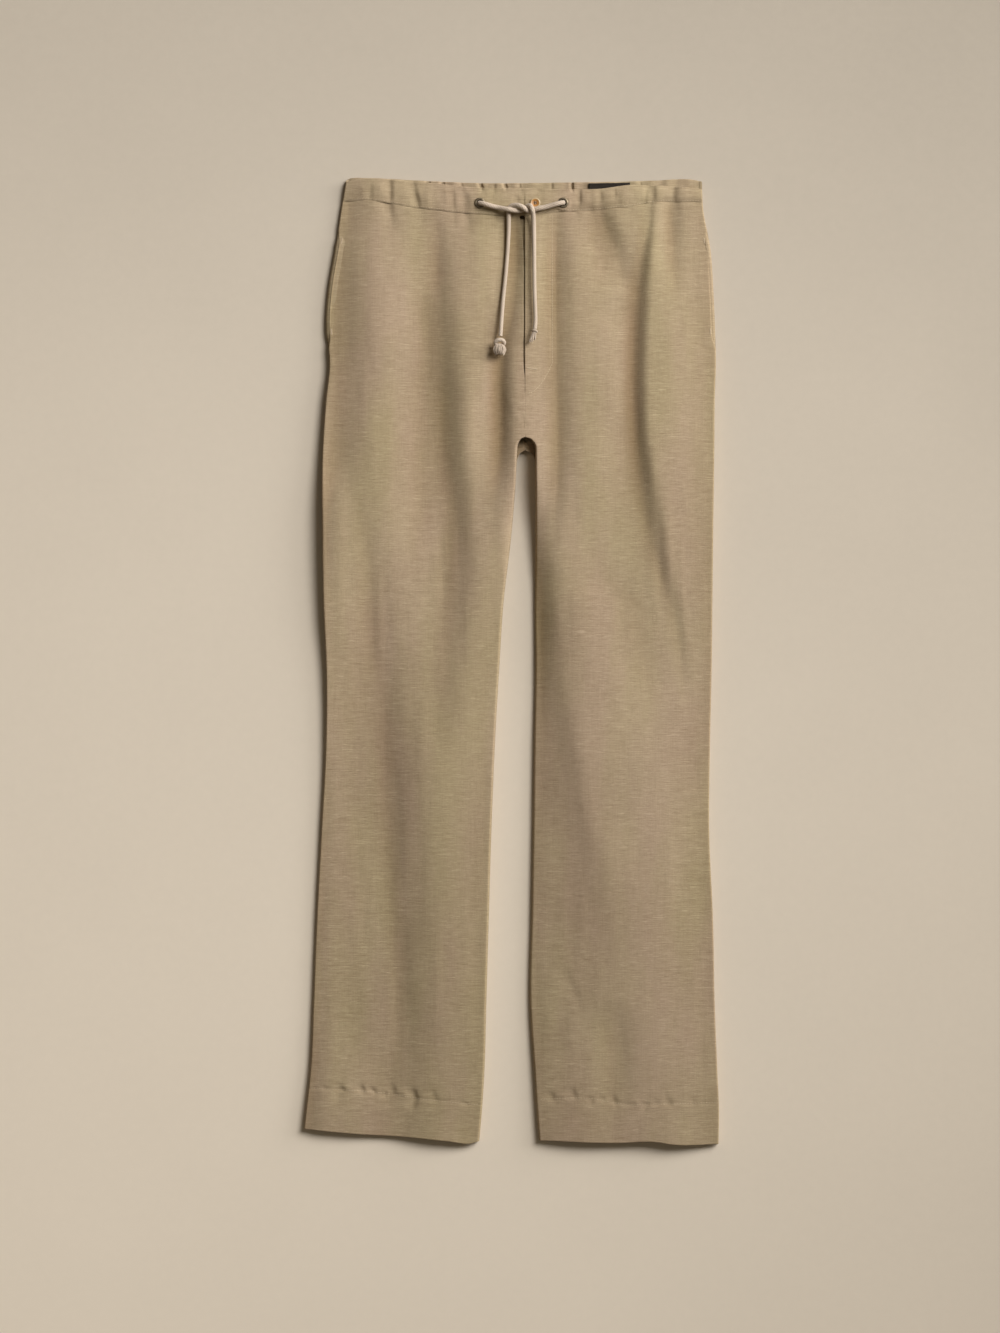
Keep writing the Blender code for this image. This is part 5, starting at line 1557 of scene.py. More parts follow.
class MakeShield(bpy.types.Operator):
    """Makes the strip that shows below the fly's opening"""

    bl_idname = "trousers.make_shield"
    bl_label = "Fly shield"

    def execute(self, context):
        wall = context.scene.trousers_cloth.wall
        x = np.linspace(-SHIELD_HALF_WIDTH, SHIELD_HALF_WIDTH, SHIELD_COLUMNS)[None, :]
        down = np.linspace(SHIELD_TOP, SHIELD_BOTTOM, SHIELD_ROWS)[:, None]
        top = crest(x, down) - CLOTH - SHIELD_DROP + ripple(x, down, SHIELD_RIPPLE)
        piece = shell("linen_shield", place(x, down, top), place(x, down, top - wall), "linen", 1)
        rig.replaces(piece, "fly_shield")
        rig.sheet(piece, flat=(0.024, 0.172), held="laid", rests_on=["front_right"])
        return {"FINISHED"}


class MakeTab(bpy.types.Operator):
    """Makes the small plain tab on the back casing's inner face"""

    bl_idname = "trousers.make_tab"
    bl_label = "Plain tab"

    def execute(self, context):
        low = BACK_WAVE_HEIGHT + CASING + 2 * SEAM_GAP
        x = np.linspace(*LABEL_SPAN, LABEL_COLUMNS)[None, :]
        top = smooth(BAND, x)[..., 1] + LABEL_TOP_MARGIN + CASING / 2
        down = top + np.linspace(0, LABEL_HEIGHT, LABEL_ROWS)[:, None]
        edge = np.minimum(np.minimum(x - LABEL_SPAN[0], LABEL_SPAN[1] - x), down - top)
        edge = np.minimum(edge, top + LABEL_HEIGHT - down)
        crown = LABEL_CLOTH * (LABEL_EDGE + (1 - LABEL_EDGE) * step(0.0, LABEL_EDGE_REACH, edge))
        shown = place(x, down, low + crown + ripple(x, down, TAB_RIPPLE))
        piece = shell("plain_tab", shown, place(x, down, low), "tab", 1)
        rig.replaces(piece, "label")
        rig.sheet(piece, flat=(0.0465, 0.0235), held="laid", rests_on=["waistband_back"])
        return {"FINISHED"}


class MakeEyelets(bpy.types.Operator):
    """Makes the two metal eyelets in the front casing"""

    bl_idname = "trousers.make_eyelets"
    bl_label = "Eyelets"

    def execute(self, context):
        middle = (EYELET_HOLE_RADIUS + EYELET_FLANGE_RADIUS) / 2
        width = (EYELET_FLANGE_RADIUS - EYELET_HOLE_RADIUS) / 2
        angles = np.linspace(0, np.pi, EYELET_CROWN_STEPS)
        rises = EYELET_RISE * np.sin(angles) ** EYELET_CROWN
        crown = list(zip(middle + width * np.cos(angles), rises))
        profile = [
            (EYELET_HOLE_RADIUS, -EYELET_BARREL_LENGTH),
            (EYELET_BARREL_RADIUS, -EYELET_BARREL_LENGTH),
            (EYELET_BARREL_RADIUS, 0.0),
            *crown,
        ]
        for name, x, down in EYELETS:
            seat = band_height(np.array(x), np.array(down)) + SEAM_GAP
            piece = turned(f"brass_{name}", profile, place(x, down, seat), ROUND_STEPS, "brass")
            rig.replaces(piece, name)
        return {"FINISHED"}


class MakeButton(bpy.types.Operator):
    """Makes the four-hole button with its rim and thread"""

    bl_idname = "trousers.make_button"
    bl_label = "Button"

    def execute(self, context):
        seat = band_height(np.array(BUTTON_X), np.array(BUTTON_DOWN)) + 2 * SEAM_GAP
        thick = BUTTON_THICKNESS
        profile = [
            (0.0, 0.0),
            *((BUTTON_RADIUS - inset, share * thick) for inset, share in BUTTON_RIM),
            *((BUTTON_RADIUS - inset, thick - share * BUTTON_DISH) for inset, share in BUTTON_BOWL),
            (0.0, thick - BUTTON_DISH),
        ]
        centre = place(BUTTON_X, BUTTON_DOWN, seat)
        piece = turned("horn_button", profile, centre, ROUND_STEPS, "horn")
        for turn in range(BUTTON_HOLES):
            angle = (turn + 0.5) * 2 * np.pi / BUTTON_HOLES
            x = BUTTON_X + BUTTON_HOLE_RING * np.cos(angle)
            down = BUTTON_DOWN - BUTTON_HOLE_RING * np.sin(angle)
            pierce(piece, x, down, BUTTON_HOLE_RADIUS, BUTTON_HOLE_SIDES)
        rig.replaces(piece, "button")
        rows = []
        top = seat + thick - BUTTON_DISH
        reach = BUTTON_HOLE_RING * np.sqrt(0.5)
        for offset in (-reach, reach):
            along = np.linspace(-reach, reach, BUTTON_THREAD_STEPS)
            arch = top + BUTTON_THREAD_RISE - BUTTON_THREAD_ARCH * (np.abs(along) / reach) ** 4
            for shift in (-BUTTON_THREAD_APART, BUTTON_THREAD_APART):
                rows.append(place(BUTTON_X + along, BUTTON_DOWN + offset + shift, arch))
        threads("thread_button", rows, BUTTON_THREAD_RADIUS)
        return {"FINISHED"}


def rings_round(line, across, upward, reach, sides):
    """Rings of points round a line's points, reaching so far out from each."""
    turn = np.linspace(0, 2 * np.pi, sides, endpoint=False)
    ring = across[:, None] * np.cos(turn)[:, None] + upward[:, None] * np.sin(turn)[:, None]
    return line[:, None] + reach * ring


def add_tube(points, faces, rings):
    """Adds a closed tube through rings of points to a piece's points and faces."""
    count, sides = rings.shape[:2]
    grid = len(points) + np.arange(count * sides).reshape(count, sides)
    points.extend(rings.reshape(-1, 3))
    faces.extend(quads(np.column_stack((grid, grid[:, 0]))))
    faces.extend([grid[0].tolist(), grid[-1].tolist()[::-1]])


def threads(name, rows, radius, sides=6):
    """Short threads, each a closed round strand along a row of points."""
    points, faces = [], []
    for row in rows:
        row = np.asarray(row, float)
        heading = np.gradient(row, axis=0)
        heading /= np.linalg.norm(heading, axis=1, keepdims=True)
        across = np.cross((0.0, 0.0, 1.0), heading)
        across /= np.maximum(np.linalg.norm(across, axis=1, keepdims=True), 1e-9)
        add_tube(points, faces, rings_round(row, across, np.cross(heading, across), radius, sides))
    return solid(name, points, faces, "thread")


# The cords' braid, and how uneven it is round the cord and along it.
BRAID_STEP = 0.00045
BRAID_AROUND = 40
BRAID_STRANDS = 6
BRAID_PITCH = 0.0034
BRAID_UNEVENNESS = 0.15
BRAID_CELLS_ROUND = 3
BRAID_CELLS_ALONG = 60
BRAID_CELL = 0.006

# The finer braid of the loops round the cords' necks, and the yarns below them.
LOOP_STRANDS = 4
LOOP_DEPTH = 0.00022
LOOP_AROUND = 24
YARN_STEPS = 9
YARN_SWELL = 0.85
YARN_TAPER = 4
YARN_TIP = 0.45
YARN_SHIFT = 0.25
YARN_TWIST = 0.35
YARN_REACH = (0.88, 1.06)
YARN_LENGTH = (0.90, 1.04)
CORE_SPAN = (0.04, 0.96)
CORE_STEPS = 14
CORE_AROUND = 24
KNOT_YARN_RADIUS = 0.00048
TUFT_YARN_RADIUS = 0.00042
CORD_LENGTHS = {"right": 0.2056, "left": 0.2144}
CORD_FULLNESS = (
    # along, share of the radius
    (0.0, 1.06),
    (0.07, 1.08),
    (0.085, 1.0),
    (0.11, 0.92),
    (0.215, 0.92),
)


def along_path(points, spacing):
    """Points spaced evenly on a smooth curve through the given ones, and how far along each is."""
    points = np.asarray(points, float)
    reached = np.append(0, np.cumsum(np.linalg.norm(np.diff(points, axis=0), axis=1)))
    at = np.linspace(0, reached[-1], round(reached[-1] / spacing) + 1)
    return smooth(np.column_stack((reached, points)), at), at


def carried_axes(points):
    """Headings of a path, and two axes across it that turn with it without twisting."""
    heading = np.gradient(points, axis=0)
    heading /= np.linalg.norm(heading, axis=1, keepdims=True)
    first = np.cross((0.0, 0.0, 1.0), heading[0])
    across = [first / np.linalg.norm(first)]
    for direction in heading[1:]:
        carried = across[-1] - direction * np.dot(across[-1], direction)
        across.append(carried / np.linalg.norm(carried))
    across = np.array(across)
    return heading, across, np.cross(heading, across)


def braid_relief(wind, strands, around):
    """Heights of two families of strands that cross over each other all round a cord."""
    turn = np.linspace(0, 2 * np.pi, around, endpoint=False)
    return np.maximum(np.cos(strands * turn + wind), np.cos(strands * turn - wind)) - 1


def braid(name, points, radius, depth):
    """A round braided cord along a path."""
    points, at = along_path(points, BRAID_STEP)
    _, across, upward = carried_axes(points)
    turn = np.linspace(0, 2 * np.pi, BRAID_AROUND, endpoint=False)
    relief = braid_relief(2 * np.pi * at[:, None] / BRAID_PITCH, BRAID_STRANDS, BRAID_AROUND)
    cells = turn * BRAID_CELLS_ROUND + at[:, None] * BRAID_CELLS_ALONG
    relief = relief + BRAID_UNEVENNESS * bumps(cells, at[:, None], 1.0, BRAID_CELL, seed=29)
    reach = radius * smooth(CORD_FULLNESS, at) + depth * relief
    grid_points, faces = [], []
    rings = rings_round(points, across, upward, reach[..., None], BRAID_AROUND)
    add_tube(grid_points, faces, rings)
    return solid(name, grid_points, faces, "cotton")


def tapered(count):
    """Shares of a yarn's radius along it, less at its two ends."""
    nearer = np.minimum(np.linspace(0, 1, count), np.linspace(1, 0, count))
    return np.clip(YARN_TAPER * nearer + YARN_TIP, 0, 1)


def end_frame(path):
    """Where a cord's end piece starts, and its axes: along the cord, across it and up."""
    path = np.asarray(path, float)
    along = path[-1] - path[-2]
    along /= np.linalg.norm(along)
    across = np.cross((0.0, 0.0, 1.0), along)
    across /= np.linalg.norm(across)
    return path[-1] + along * SEAM_GAP, along, across, np.cross(along, across)


def yarn_lines(rows, spot):
    """Lines of the yarns that fan out below a cord's neck."""
    lines = []
    spread = np.random.default_rng(31)
    for count, neck, widest, neck_at, end_at, lean, flat, closing in rows:
        for k in range(count):
            turn = 2 * np.pi * (k + spread.uniform(-YARN_SHIFT, YARN_SHIFT)) / count
            reach = widest * spread.uniform(*YARN_REACH)
            end = end_at * spread.uniform(*YARN_LENGTH)
            twist = spread.uniform(-YARN_TWIST, YARN_TWIST)
            line = []
            for t in np.linspace(0, 1, YARN_STEPS):
                swell = neck + (reach - neck) * np.sin(np.pi * min(t * closing, 1) ** YARN_SWELL)
                around = turn + twist * t
                a = neck_at + (end - neck_at) * t
                wide = lean * t + swell * np.cos(around)
                line.append(spot(a, wide, swell * np.sin(around) * flat))
            lines.append(np.array(line))
    return lines


def core_rings(core, spot):
    """Rings of the round body that a knot's yarns lie on."""
    core_at, core_long, core_wide, core_lean, flat = core
    turns = np.linspace(0, 2 * np.pi, CORE_AROUND, endpoint=False)
    rings = []
    for t in np.linspace(*CORE_SPAN, CORE_STEPS):
        angle = np.pi * t
        a = core_at - core_long * np.cos(angle)
        wide = core_wide * np.sin(angle)
        ring = [spot(a, core_lean * t + wide * np.cos(q), wide * np.sin(q) * flat) for q in turns]
        rings.append(ring)
    return np.array(rings)


def make_brush(name, path, loop, rows, yarn, core):
    """A cord's end: a loop of the braid round its neck and the yarns that fan out below it.

    Each row of yarns gives how many there are, the radius that they start from, their widest
    radius, where they start and end along the cord, how far they lean, how flat they lie and how
    far they close at their ends. A core gives its place along the cord, its half length, its
    radius, how far it leans and how flat it lies.
    """
    start, along, across, upward = end_frame(path)

    def spot(a, c, u):
        return start + along * a + across * c + upward * u

    points, faces = [], []
    for line in yarn_lines(rows, spot):
        reach = (yarn * tapered(len(line)))[:, None, None]
        add_tube(points, faces, rings_round(line, *carried_axes(line)[1:], reach, 6))
    if core:
        add_tube(points, faces, core_rings(core, spot))
    radius, places = loop
    line = along_path([spot(*p) for p in places], BRAID_STEP)[0]
    turns = np.linspace(0, len(line) * BRAID_STEP / BRAID_PITCH, len(line))[:, None]
    relief = braid_relief(turns * 2 * np.pi, LOOP_STRANDS, LOOP_AROUND)
    reach = (radius + LOOP_DEPTH * relief)[..., None]
    add_tube(points, faces, rings_round(line, *carried_axes(line)[1:], reach, LOOP_AROUND))
    return solid(name, points, faces, "cotton")


# The knot's and the tuft's loops: their radius, and places along the cord, across it and up.
KNOT_LOOP = (
    0.0023,
    (
        (0.01, 0.0016, -0.0022),
        (0.0094, -0.004, -0.001),
        (0.0074, -0.0052, 0.0012),
        (0.0054, -0.003, 0.003),
        (0.0046, 0.0004, 0.0034),
        (0.0052, 0.0034, 0.0022),
        (0.007, 0.0046, 0.0002),
        (0.009, 0.0034, -0.0018),
    ),
)
KNOT_YARNS = (
    # count, neck radius, widest radius, neck along, end along, lean, flatness, closing
    (34, 0.0022, 0.0068, 0.0086, 0.0206, 0.0004, 0.8, 0.78),
    (26, 0.0018, 0.0056, 0.0086, 0.0204, 0.0004, 0.8, 0.78),
    (14, 0.001, 0.0036, 0.0086, 0.0198, 0.0004, 0.8, 0.78),
)
KNOT_CORE = (0.0146, 0.0056, 0.0052, 0.0002, 0.80)
TUFT_LOOP = (
    0.0013,
    (
        (0.003, 0.0008, -0.0018),
        (0.0024, 0.0022, 0.0),
        (0.0016, 0.001, 0.002),
        (0.0014, -0.001, 0.002),
        (0.0022, -0.0021, 0.0002),
        (0.0032, -0.0008, -0.0016),
    ),
)
TUFT_YARNS = (
    (9, 0.0013, 0.0024, 0.0, 0.0122, -0.0008, 0.8, 0.6),
    (9, 0.0009, 0.0019, 0.0, 0.0146, -0.0034, 0.8, 0.6),
    (6, 0.0005, 0.0012, 0.0, 0.0136, -0.0044, 0.8, 0.5),
)


class MakeCords(bpy.types.Operator):
    """Makes the drawstring's two free ends, with the knot and the tuft that end them"""

    bl_idname = "trousers.make_cords"
    bl_label = "Drawstring"

    def execute(self, context):
        trim = context.scene.trousers_trim
        tuft = TUFT_LOOP, TUFT_YARNS, TUFT_YARN_RADIUS, None
        knot = KNOT_LOOP, KNOT_YARNS, KNOT_YARN_RADIUS, KNOT_CORE
        ends = {
            "right": make_brush("cotton_end_tuft", CORD_PATHS["right"], *tuft),
            "left": make_brush("cotton_end_knot", CORD_PATHS["left"], *knot),
        }
        nodes = {"right": "end_tuft", "left": "end_knot"}
        for name, path in CORD_PATHS.items():
            piece = braid(f"cotton_cord_{name}", path, trim.cord_radius, trim.braid_depth)
            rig.replaces(piece, f"cord_{name}")
            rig.replaces(ends[name], nodes[name])
            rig.cord(
                piece,
                exit=path[0],
                length=CORD_LENGTHS[name],
                diameter=0.005,
                far_end="knot",
                stiffness="limp",
                lay="loose",
                path=path,
                with_pieces=[ends[name]],
            )
        return {"FINISHED"}


# Stitches: what share of its pitch each one fills, how high it arches, and how it lies.
STITCH_SHARE = 0.82
STITCH_LIFT = 0.7
STITCH_ARCH = (-1.0, 0.55, 1.0, 0.55, -1.0)
STITCH_ABOVE_SEAM = 0.0017
SEAM_STITCH_SPAN = (0.002, 0.196)
LINE_POINTS = 160
HEM_STITCH_DOWN = 1.030
HEM_STITCH_INSET = 0.004
FLY_STITCH_TOP = 0.038
FLY_STITCH_POINTS = 400
FLY_STITCH_INNER = 0.0008

# Bar tacks: their dense stitches lie across their line.
TACK_PITCH = 0.0006
TACK_WIDTH = 0.0018
FLY_TACK = ((0.0025, 0.2110), (0.0140, 0.2122))
POCKET_TACKS = ((0.0640, "upper"), (0.1660, "lower"))
POCKET_TACK_LENGTH = 0.0070
POCKET_TACK_INSET = 0.0060
LABEL_STITCH_INSET = 0.0012
LABEL_STITCH_POINTS = 30
LABEL_THREAD = 0.8


def surface(pieces, upward=True):
    """Reads the height of the cloth that shows from above, or from below, at a place on it."""
    bpy.context.view_layer.update()
    depsgraph = bpy.context.evaluated_depsgraph_get()
    trees = [BVHTree.FromObject(piece, depsgraph) for piece in pieces]
    start_z, way = (0.1, -1.0) if upward else (-0.1, 1.0)

    def height(x, down):
        spot = place(x, down, start_z)
        hits = [tree.ray_cast(Vector(spot), Vector((0, 0, way)))[0] for tree in trees]
        found = [hit.z for hit in hits if hit]
        if not found:
            return None
        return max(found) if upward else min(found)

    return height


def stitched(line, height, pitch, share, lift, cross=0.0):
    """Rows of points for the stitches along a line of places, drawn into the cloth at both ends.

    With cross given, each stitch lies across the line by that length instead of along it.
    """
    line = np.asarray(line, float)
    reached = np.append(0, np.cumsum(np.linalg.norm(np.diff(line, axis=0), axis=1)))
    rows = []
    for start in np.arange(0, reached[-1] - pitch * share, pitch):
        if cross:
            at = np.full(len(STITCH_ARCH), start)
            x, down = (np.interp(at, reached, line[:, k]) for k in (0, 1))
            ahead = [np.interp(start + pitch, reached, line[:, k]) for k in (0, 1)]
            run = np.array((ahead[0] - x[0], ahead[1] - down[0]))
            run /= max(np.linalg.norm(run), 1e-9)
            offset = np.linspace(-cross / 2, cross / 2, len(STITCH_ARCH))
            x, down = x - run[1] * offset, down + run[0] * offset
        else:
            at = np.linspace(start, start + pitch * share, len(STITCH_ARCH))
            x, down = (np.interp(at, reached, line[:, k]) for k in (0, 1))
        z = [height(a, b) for a, b in zip(x, down)]
        if None in z:
            continue
        rows.append(place(x, down, np.array(z) + lift * np.array(STITCH_ARCH)))
    return rows


def waist_seam_line(side, above):
    """Places along the front casing's seam, so far above it."""
    x = side * np.linspace(*SEAM_STITCH_SPAN, LINE_POINTS)
    return np.column_stack((x, smooth(BAND, x)[..., 2] - above))


def hem_line(side, crotch):
    """Places along a leg's hem stitching."""
    outer, inner = edges(side, np.array(HEM_STITCH_DOWN), crotch)
    x = side * np.linspace(outer - HEM_STITCH_INSET, inner + HEM_STITCH_INSET, LINE_POINTS)
    return np.column_stack((x, smooth(HEM_SEAMS, x)[..., 0]))


def fly_line(distance):
    """Places along the fly's stitching, which curves in to the centre seam at its bottom."""
    down = FLY_BOTTOM - (FLY_BOTTOM - FLY_STITCH_TOP) * np.linspace(1, 0, FLY_STITCH_POINTS) ** 2
    x = distance * np.sqrt(np.clip((FLY_BOTTOM - down) / FLY_CURVE, 0, 1))
    return np.column_stack((x, down))[x > FLY_STITCH_INNER]


class MakeStitches(bpy.types.Operator):
    """Makes the stitching of the seams, the fly, the hems, the bar tacks and the tab"""

    bl_idname = "trousers.make_stitches"
    bl_label = "Stitches"

    def execute(self, context):
        cloth = context.scene.trousers_cloth
        pitch, radius = cloth.stitch_pitch, cloth.thread_radius
        share, lift = STITCH_SHARE, radius * STITCH_LIFT

        def read(*names, upward=True):
            return surface([bpy.data.objects[name] for name in names], upward)

        def tack(line, height):
            return stitched(line, height, TACK_PITCH, 1, lift, cross=TACK_WIDTH)

        for side, name in SIDES:
            front = read(f"linen_front_{name}")
            casing = read(f"linen_casing_front_{name}")
            rows = stitched(waist_seam_line(side, STITCH_ABOVE_SEAM), casing, pitch, share, lift)
            threads(f"thread_casing_{name}", rows, radius)
            rows = stitched(hem_line(side, FRONT_CROTCH), front, pitch, share, lift)
            threads(f"thread_hem_{name}", rows, radius)
            below = read(f"linen_back_{name}", upward=False)
            rows = stitched(hem_line(side, BACK_CROTCH), below, pitch, share, -lift)
            threads(f"thread_back_hem_{name}", rows, radius)
        front = read("linen_front_left")
        rows = stitched(fly_line(FLY_STITCH), front, pitch, share, lift)
        threads("thread_fly", rows, radius)
        both = read("linen_front_left", "linen_front_right")
        threads("thread_fly_tack", tack(FLY_TACK, both), radius)
        for side, name in SIDES:
            near = read(f"linen_front_{name}", f"linen_facing_{name}")
            for top, label in POCKET_TACKS:
                down = np.array((top, top + POCKET_TACK_LENGTH))
                x = side * (edges(side, down, FRONT_CROTCH)[0] - POCKET_TACK_INSET)
                rows = tack(np.column_stack((x, down)), near)
                threads(f"thread_pocket_{label}_{name}", rows, radius)
        tab = read("plain_tab")
        across = np.linspace(*LABEL_SPAN, LABEL_STITCH_POINTS)
        top = smooth(BAND, across)[..., 1] + LABEL_TOP_MARGIN + CASING / 2
        inset = LABEL_STITCH_INSET
        x = np.linspace(LABEL_SPAN[0] + inset, LABEL_SPAN[1] - inset, LABEL_STITCH_POINTS)
        lines = [np.column_stack((x, top + offset)) for offset in (inset, LABEL_HEIGHT - inset)]
        for spot in (x[0], x[-1]):
            lines.append(((spot, top[0] + inset), (spot, top[0] + LABEL_HEIGHT - inset)))
        rows = []
        for line in lines:
            rows += stitched(line, tab, LABEL_STITCH, share, lift)
        piece = threads("thread_tab", rows, radius * LABEL_THREAD)
        piece.data.materials[0] = finish("tab")
        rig.slot(piece, "label")
        return {"FINISHED"}


# Finishes.
class Value:
    """A socket of a material, whose arithmetic adds the nodes that it needs."""

    def __init__(self, look, socket):
        self.look, self.socket = look, socket

    def math(self, operation, *inputs, **settings):
        return self.look.node("ShaderNodeMath", dict(operation=operation, **settings), *inputs)

    def __add__(self, other):
        return self.math("ADD", self, other)

    def __sub__(self, other):
        return self.math("SUBTRACT", self, other)

    def __mul__(self, other):
        return self.math("MULTIPLY", self, other)

    def __rsub__(self, other):
        return self.math("SUBTRACT", other, self)

    __radd__ = __add__
    __rmul__ = __mul__

    def clamped(self):
        return self.math("ADD", self, 0.0, use_clamp=True)


class Look:
    """A procedural material and what adds its nodes."""

    def __init__(self, name, **constants):
        self.material = bpy.data.materials.new(name)
        self.material.use_nodes = True
        self.tree = self.material.node_tree
        self.shader = self.tree.nodes["Principled BSDF"]
        for socket, value in constants.items():
            self.shader.inputs[socket.replace("_", " ")].default_value = value

    def node(self, kind, settings, *inputs, output=0, **named):
        """Adds a node, sets it and its sockets, by place or by name, and returns an output."""
        node = self.tree.nodes.new(kind)
        for key, value in settings.items():
            setattr(node, key, value)
        for socket, value in list(enumerate(inputs)) + list(named.items()):
            key = socket if isinstance(socket, int) else socket.replace("_", " ")
            self.feed(node.inputs[key], value)
        return Value(self, node.outputs[output])

    def feed(self, socket, value):
        """Links a value to a socket, or sets it where it is a constant."""
        if isinstance(value, Value):
            self.tree.links.new(value.socket, socket)
        elif value is not None:
            socket.default_value = value

    def place(self, scale, shift=(0.0, 0.0, 0.0)):
        """The piece's own coordinates, stretched."""
        spot = self.node("ShaderNodeTexCoord", {}, output=3)
        moved = self.node("ShaderNodeVectorMath", {"operation": "ADD"}, spot, shift)
        return self.node("ShaderNodeVectorMath", {"operation": "MULTIPLY"}, moved, scale)

    def noise(self, scale, detail=2.0, roughness=0.5):
        """Uneven tones from about 0 to 1, with so many cells to a metre along X, Y and Z."""
        inputs = {"Scale": 1.0, "Detail": detail, "Roughness": roughness}
        return self.node("ShaderNodeTexNoise", {}, Vector=self.place(scale), **inputs)

    def mix(self, share, low, high):
        """A colour between two."""
        settings = {"data_type": "RGBA", "clamp_factor": True}
        node = self.node("ShaderNodeMix", settings, output=2)
        inputs = node.socket.node.inputs
        for socket, value in ((inputs[0], share), (inputs[6], low), (inputs[7], high)):
            self.feed(socket, value)
        return node

    def bump(self, height, distance, strength=1.0):
        node = self.node("ShaderNodeBump", {}, Strength=strength, Distance=distance, Height=height)
        self.feed(self.shader.inputs["Normal"], node)

    def colour(self, value):
        self.feed(self.shader.inputs["Base Color"], value)


def thread_waves(look, across, spacing, amount):
    """Rounded threads side by side: their height over a plane, across one axis."""
    along = look.node("ShaderNodeSeparateXYZ", {}, look.place((1.0, 1.0, 1.0)), output=across)
    wave = look.node("ShaderNodeMath", {"operation": "SINE"}, along * (2 * np.pi / spacing))
    return wave * amount


# The linen's cloudy tints, and the painted shade of its narrow valleys, as shares of its colour.
TINTS = ((0.985, 1.015, 0.955, 1.0), (1.015, 0.985, 1.045, 1.0))
VALLEY_PAINTED_SHADE = (0.86, 0.80, 0.71, 1.0)

# Spacing of the woven threads across X and across Y.
LINEN_THREADS = (0.00062, 0.00058)
TAB_THREADS = (0.00035, 0.0003)


def make_linen(name, light, dark, contrast, depth):
    """Washed linen: slubs along the weft and the warp, a cloudy tone, painted shade in the fronts' narrow valleys and
    a fine weave.
    """
    look = Look(name, Roughness=0.95, Sheen_Weight=0.03, Specular_IOR_Level=0.15)
    weft = look.noise((62.0, 980.0, 62.0), 3.0, 0.6) - 0.5
    fine = look.noise((260.0, 1900.0, 260.0), 2.0, 0.5) - 0.5
    warp = look.noise((1150.0, 48.0, 300.0), 2.0, 0.5) - 0.5
    cloud = look.noise((9.0, 6.0, 9.0), 2.0, 0.5) - 0.5
    slub = ((look.noise((70.0, 820.0, 70.0), 2.0, 0.4) - 0.62) * 9.0).clamped()
    nep = ((look.noise((55.0, 900.0, 55.0), 2.0, 0.4) - 0.64) * 9.0).clamped()
    yarns = weft * 1.2 + fine * 0.7 + warp * 0.4 + cloud * 0.6 + slub * 0.45 - nep * 0.3
    tone = 0.5 + contrast * yarns
    plain = look.mix(tone.clamped(), dark, light)
    hue = (look.noise((17.0, 4.5, 17.0), 3.0, 0.5) - 0.5) * 3.2 + 0.5
    tint = look.mix(hue.clamped(), TINTS[0], TINTS[1])
    cloudy = look.node("ShaderNodeVectorMath", {"operation": "MULTIPLY"}, plain, tint)
    # Painted shade: the colour is darkened and warmed where the fronts' narrow valleys lie.
    hollows = look.node("ShaderNodeAttribute", {"attribute_name": "hollow"}, output=2)
    painted_valley_shading = look.mix(hollows, (1.0, 1.0, 1.0, 1.0), VALLEY_PAINTED_SHADE)
    look.colour(look.node("ShaderNodeVectorMath", {"operation": "MULTIPLY"}, cloudy, painted_valley_shading))
    weave = thread_waves(look, 0, LINEN_THREADS[0], 0.35)
    weave = weave + thread_waves(look, 1, LINEN_THREADS[1], 0.35)
    look.bump(weave + weft * 1.8 + fine * 1.2 + warp * 0.4, depth)
    return look.material


def make_cotton(name, light, dark):
    """Off-white cotton: soft yarns, a little grey in the hollows."""
    look = Look(name, Roughness=0.85, Sheen_Weight=0.25, Sheen_Roughness=0.5)
    yarn = look.noise((900.0, 900.0, 900.0), 3.0, 0.6)
    soft = look.noise((60.0, 60.0, 60.0), 2.0, 0.5)
    look.colour(look.mix((yarn * 0.7 + soft * 0.5 - 0.1).clamped(), dark, light))
    look.bump(yarn, 0.00012)
    return look.material


def make_brass(name, light, dark):
    """Aged brass: darker and rougher in patches."""
    look = Look(name, Metallic=0.85)
    patches = look.noise((420.0, 420.0, 420.0), 4.0, 0.6)
    look.colour(look.mix(((patches - 0.5) * 2.2 + 0.45).clamped(), dark, light))
    look.feed(look.shader.inputs["Roughness"], 0.28 + patches * 0.28)
    look.bump(patches, 0.00004)
    return look.material


def make_horn(name, rim, disc, heart, centre):
    """Horn-like button: a pale rim round a brown disc with a darker middle and a soft grain."""
    look = Look(name, Roughness=0.40, Coat_Weight=0.15, Coat_Roughness=0.25)
    shift = tuple(-value for value in centre)
    offset = look.place((1.0, 1.0, 0.0), (shift[0], shift[1], 0.0))
    distance = look.node("ShaderNodeVectorMath", {"operation": "LENGTH"}, offset, output=1)
    grain = look.noise((700.0, 260.0, 300.0), 3.0, 0.6)
    inner = look.mix(((distance * 400.0) - 0.1 + (grain - 0.5) * 0.8).clamped(), heart, disc)
    edge = ((distance - (BUTTON_RADIUS - 0.0016)) * 2600.0 + (grain - 0.5) * 0.6).clamped()
    look.colour(look.mix(edge, inner, rim))
    look.bump(grain, 0.00003)
    return look.material


def make_tab(name, light, dark):
    """A dark woven tab."""
    look = Look(name, Roughness=0.8, Specular_IOR_Level=0.15)
    tone = look.noise((500.0, 2200.0, 500.0), 2.0, 0.5)
    look.colour(look.mix(tone, dark, light))
    weave = thread_waves(look, 0, TAB_THREADS[0], 0.5)
    weave = weave + thread_waves(look, 1, TAB_THREADS[1], 0.5)
    look.bump(weave + tone, 0.00010)
    return look.material


